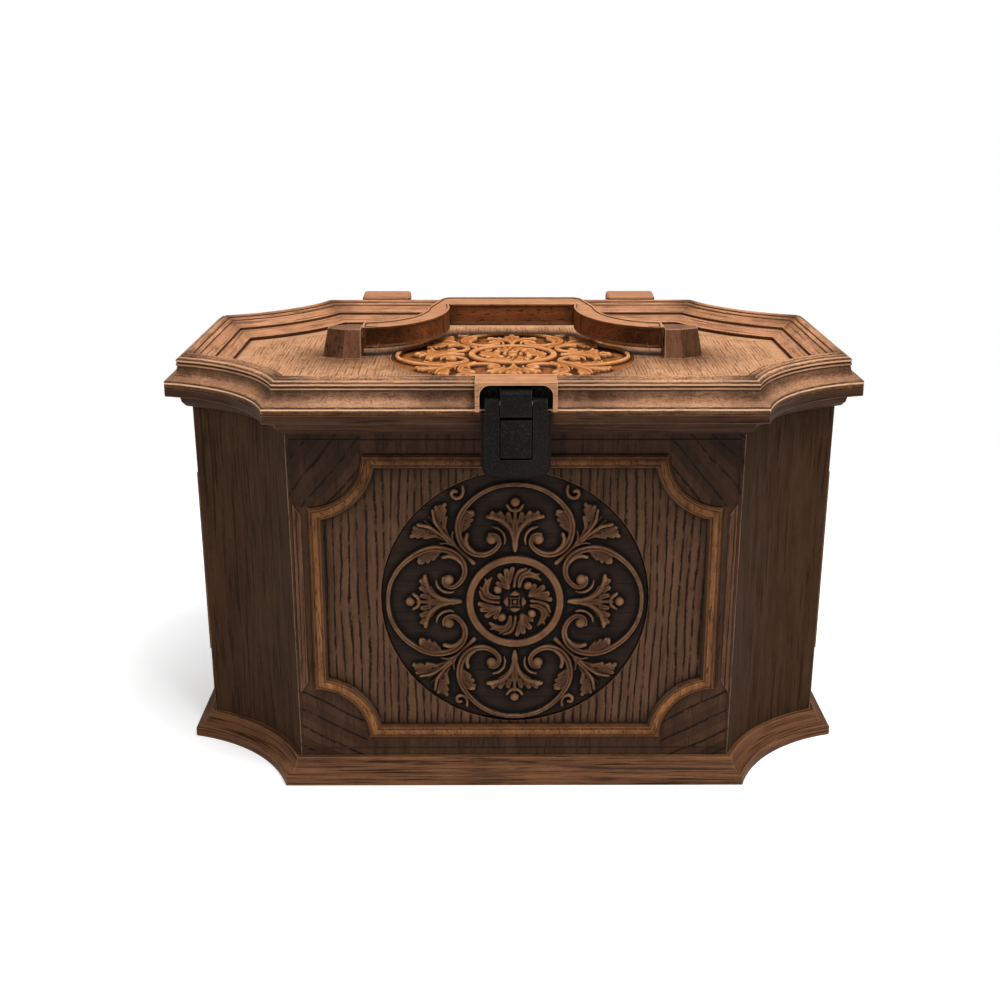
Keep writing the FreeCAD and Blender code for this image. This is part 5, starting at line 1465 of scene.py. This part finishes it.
@dataclass
class ChestLid:
    """Dished lid with its mouldings, hinges, handle blocks and bail handle, in mm.

    A bead is given by its inset from the lip, its rise over the lid's foot and its radius. A place on the
    lid is given by its rise, by its inset from the lip or, at the latch, by X and Y.
    """

    shop: Workshop
    bevel_bead: tuple[float, float, float] = (9.0, 15.25, 0.55)
    land_bead: tuple[float, float, float] = (13.2, 15.2, 0.5)
    panel_line: tuple[float, float, float] = (33.5, 3.3, 0.25)
    corner_points: int = 24
    lug_rounding: float = 1.6
    block_rounding: float = 0.7
    handle_rounding: float = 0.4
    under_from: float = 0.4
    under_to: float = 14.5
    panel_rise: float = 3.4
    housing_half: float = 19.4
    housing_back: float = -104.0
    housing_rise: float = 3.3
    recess_half: float = 17.4
    recess_front: float = -128.6
    lip_rise: float = 3.0
    lip_round_rise: float = 3.7
    cove_rise: float = 10.4
    cove_inset: float = 7.0
    bevel_rise: float = 14.1
    bevel_inset: float = 11.3
    riser_inset: float = 14.0

    def build(self) -> None:
        """Dress the lid and everything fixed to it."""
        piece = self.shop.copy("lid_shell", False)
        self.shop.dress(piece, (LID_BAND, LID_PANEL, LID_ROUGH, INSIDE, LID_BEVEL, LID_LIP, LID_RISER, RECESS,
                                HOUSING), self.region)
        settle(piece, "lid", ["lid_shell"])
        for name, (inset, rise, radius), finish in (("lid_bevel_bead", self.bevel_bead, LID_BEVEL),
                                                    ("lid_land_bead", self.land_bead, LID_RISER),
                                                    ("lid_panel_line", self.panel_line, LID_LIP)):
            bead = self.shop.bead(name, self.outline(inset, LID_FOOT + rise), radius, finish)
            settle(bead, "lid")
        for node in ("hinge_lug_left", "hinge_lug_right"):
            lug = self.shop.copy(node, True)
            self.shop.soften(lug, self.lug_rounding, clamp=False)
            self.shop.dress(lug, (HINGE_TAN,), lambda centre, normal: 0)
            settle(lug, "lid", [node])
        for node in ("handle_block_left", "handle_block_right"):
            block = self.shop.copy(node, True)
            self.shop.soften(block, self.block_rounding)
            self.shop.dress(block, (BLOCK_FACE, BLOCK_DARK), self.block_region)
            settle(block, "lid", [node])
        handle = self.shop.copy("carry_handle", True)
        self.shop.dress(handle, (HANDLE_TOP, HANDLE_SIDE, LID_RISER),
                        lambda centre, normal: 0 if normal.z > TOPMOST else 1)
        self.shop.recess(handle, lambda normal: abs(normal.y) > SLANTED and abs(normal.z) < STEEP, (1, 2))
        self.shop.recess(handle, lambda normal: normal.z > UPWARD, (0, 2))
        self.shop.soften(handle, self.handle_rounding)
        settle(handle, "handle", ["carry_handle"])
        for node in ("hinge_lug_screws", "handle_block_screws", "handle_pin_left", "handle_pin_right"):
            self.shop.coat(node, ZINC)

    def outline(self, inset: float, z: float) -> list[Point]:
        """Outline of the chest in plan, with hollow corners.

        Args:
            inset: Distance in from the lip, in mm.
            z: Height, in mm.

        Returns:
            Points of one turn, in metres.
        """
        radius = CORNER_RADIUS + inset
        low = math.asin((CORNER_Y - LIP_Y + inset) / radius)
        high = math.pi / 2 - math.asin((CORNER_X - LIP_X + inset) / radius)
        turn = hollow_corners((CORNER_X, CORNER_Y), radius, low, high, self.corner_points)
        return [(x * MM, y * MM, z * MM) for x, y in turn]

    @staticmethod
    def block_region(centre: Vector, normal: Vector) -> int:
        """Choose the dark end finish for a block's outer slanted faces."""
        return 1 if normal.x * centre.x > SLANTED * abs(centre.x) and abs(normal.z) < UPWARD else 0

    def region(self, centre: Vector, normal: Vector) -> LidFace:
        """Choose a lid face's finish by its place.

        Args:
            centre: Middle of the face in mm.
            normal: Its outward direction.

        Returns:
            Kind of the face.
        """
        rise = centre.z - LID_FOOT
        if normal.z < -TURNED and self.under_from < rise < self.under_to:
            return LidFace.INSIDE
        if abs(rise - self.panel_rise) < OFF_MIDDLE and normal.z > LEVEL:
            return LidFace.PANEL
        at_latch = abs(centre.x) < self.housing_half and centre.y < self.housing_back
        if at_latch and (rise > self.housing_rise or abs(normal.x) > TURNED):
            cheek = normal.z < TURNED and normal.y > -SQUARE
            back = centre.y > self.recess_front and normal.y < -TURNED
            return LidFace.RECESS if abs(centre.x) < self.recess_half and (cheek or back) else LidFace.HOUSING
        if rise < self.lip_rise or (rise < self.lip_round_rise and normal.z < NEARLY_LEVEL):
            return LidFace.LIP
        inset = lip_distance(centre)
        if rise < self.cove_rise and inset < self.cove_inset:
            return LidFace.COVE
        if rise > self.bevel_rise and inset < self.bevel_inset and normal.z > SLANTED:
            return LidFace.BEVEL
        return LidFace.RISER if inset > self.riser_inset and normal.z < TURNED else LidFace.BAND


@dataclass
class LatchAndTray:
    """Hammered latch with its works, and the tray, with roundings in mm and the spring's seat in metres."""

    shop: Workshop
    flap_rounding: float = 0.6
    button_rounding: float = 0.5
    spring_seat: Point = (0.0, -0.1196, 0.1868)
    spring_keep: float = 0.03

    def build(self) -> None:
        """Dress the latch, its works and the tray."""
        for node, rounding in (("latch_flap", self.flap_rounding), ("latch_button", self.button_rounding),
                               ("latch_hinge_plate", self.flap_rounding)):
            piece = self.shop.copy(node, True)
            self.shop.soften(piece, rounding)
            self.shop.dress(piece, (LATCH_BLACK,), lambda centre, normal: 0)
            settle(piece, BODY_OF[node], [node])
        node = "latch_button_spring"
        spring = self.shop.copy(node, False)
        self.shop.dress(spring, (ZINC,), lambda centre, normal: 0)
        settle(spring, BODY_OF[node], [node])
        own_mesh(spring)
        self.shop.coat("latch_plate_screws", LATCH_BLACK)
        for node in ("latch_guide", "latch_guide_screws", "latch_bolt", "latch_hinge_pin"):
            self.shop.coat(node, ZINC)
        for node in ("sewing_tray", "tray_divider_long", "tray_divider_left", "tray_divider_right",
                     "spool_pegs"):
            self.shop.coat(node, TRAY)


@dataclass
class Studio:
    """Pale floor, soft lamps, white surround and the camera of the photograph, in metres and watts."""

    camera_at: Point = (-0.0101, -0.7738, 0.3570)
    camera_tilt_deg: tuple[float, float, float] = (72.75, 0.0, -0.23)
    focal_px: float = 1427.4
    image_px: float = 1000.0
    sensor_mm: float = 36.0
    room_level: float = 0.28
    aim: Point = (0.0, 0.0, 0.1)
    floor_size: float = 8.0
    floor_grey: float = 0.9
    floor_lift: float = 0.35
    floor_fade: tuple[float, float] = (0.35, 0.75)

    def build(self) -> None:
        """Make the floor, lamps, world and camera."""
        self.floor()
        self.world()
        self.lamp("key_lamp", (0.4, -0.5, 1.5), 0.7, 19.0)
        self.lamp("fill_lamp", (-0.7, -1.2, 0.8), 0.9, 3.0)
        self.lamp("top_lamp", (0.0, 0.2, 1.5), 1.0, 9.0)
        data = bpy.data.cameras.new("photo_camera")
        data.sensor_width = self.sensor_mm
        data.lens = self.focal_px / self.image_px * self.sensor_mm
        camera = bpy.data.objects.new("photo_camera", data)
        camera.location = self.camera_at
        camera.rotation_euler = [math.radians(a) for a in self.camera_tilt_deg]
        bpy.context.scene.collection.objects.link(camera)
        bpy.context.scene.camera = camera
        bpy.context.scene.view_settings.view_transform = "Standard"

    def lamp(self, name: str, at: Point, size: float, power: float) -> None:
        """Hang a square soft lamp that points at the chest.

        Args:
            name: Name of the lamp.
            at: Where it hangs.
            size: Side of its face.
            power: Its power.
        """
        data = bpy.data.lights.new(name, "AREA")
        data.size = size
        data.energy = power
        lamp = bpy.data.objects.new(name, data)
        lamp.location = at
        lamp.rotation_euler = (Vector(self.aim) - Vector(at)).to_track_quat("-Z", "Y").to_euler()
        bpy.context.scene.collection.objects.link(lamp)

    def floor(self) -> None:
        """Lay a wide pale floor that runs into the white of the room."""
        deselect()
        bpy.ops.mesh.primitive_plane_add(size=self.floor_size, location=(0, 0, 0))
        floor = bpy.context.object
        floor.name = "floor"
        material = bpy.data.materials.new("pale_floor")
        tree = new_tree(material)
        matt = put(tree, "BsdfDiffuse", {"Color": (*[self.floor_grey] * 3, 1.0)})
        lift, white = [put(tree, "Emission", {"Color": WHITE, "Strength": strength})
                       for strength in (self.floor_lift, 1.0)]
        near = put(tree, "AddShader", (matt, lift))
        spot = put(tree, "NewGeometry", (), "Position")
        reach = put(tree, "VectorMath", (spot,), "Value", operation="LENGTH")
        away = put(tree, "MapRange", (reach, *self.floor_fade))
        seen = put(tree, "MixShader", (away, near, white))
        camera = put(tree, "LightPath", (), "Is Camera Ray")
        put(tree, "OutputMaterial", {"Surface": put(tree, "MixShader", (camera, matt, seen))})
        floor.data.materials.append(material)

    def world(self) -> None:
        """Light the room softly and show it white."""
        world = bpy.data.worlds.new("white_room")
        bpy.context.scene.world = world
        tree = new_tree(world)
        rays = [put(tree, "LightPath", (), ray) for ray in ("Is Camera Ray", "Is Transmission Ray")]
        seen = put(tree, "Math", rays, operation="MAXIMUM")
        strength = put(tree, "Mix", {0: seen, 2: self.room_level, 3: 1.0}, 0, data_type="FLOAT")
        back = put(tree, "Background", {"Color": WHITE, "Strength": strength})
        put(tree, "OutputWorld", {"Surface": back})


def main() -> None:
    """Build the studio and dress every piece."""
    logging.basicConfig(level=logging.INFO, format="%(name)s: %(message)s")
    Studio().build()
    shop = Workshop()
    lean = math.atan(WALL_DRAFT / (WALL_TOP - WALL_FOOT))
    face = LIP_Y - wall_inset(FRAME_CENTRE) - FIELD_SUNK - DISC_SUNK_FRONT
    CarvedDisc("front_carving", "front_medallion", CARVED_DARK, (0.0, -face, FRAME_CENTRE), (1.0, 0.0, 0.0),
               (0.0, -math.sin(lean), math.cos(lean)), (0.0, -math.cos(lean), -math.sin(lean))).build(shop)
    CarvedDisc("lid_carving", "lid_medallion", CARVED_TAN, (0.0, 0.0, PANEL_Z - DISC_SUNK_LID),
               (1.0, 0.0, 0.0), (0.0, 1.0, 0.0), (0.0, 0.0, 1.0)).build(shop)
    ChestBody(shop).build()
    ChestLid(shop).build()
    LatchAndTray(shop).build()


if __name__ == "__main__":
    main()
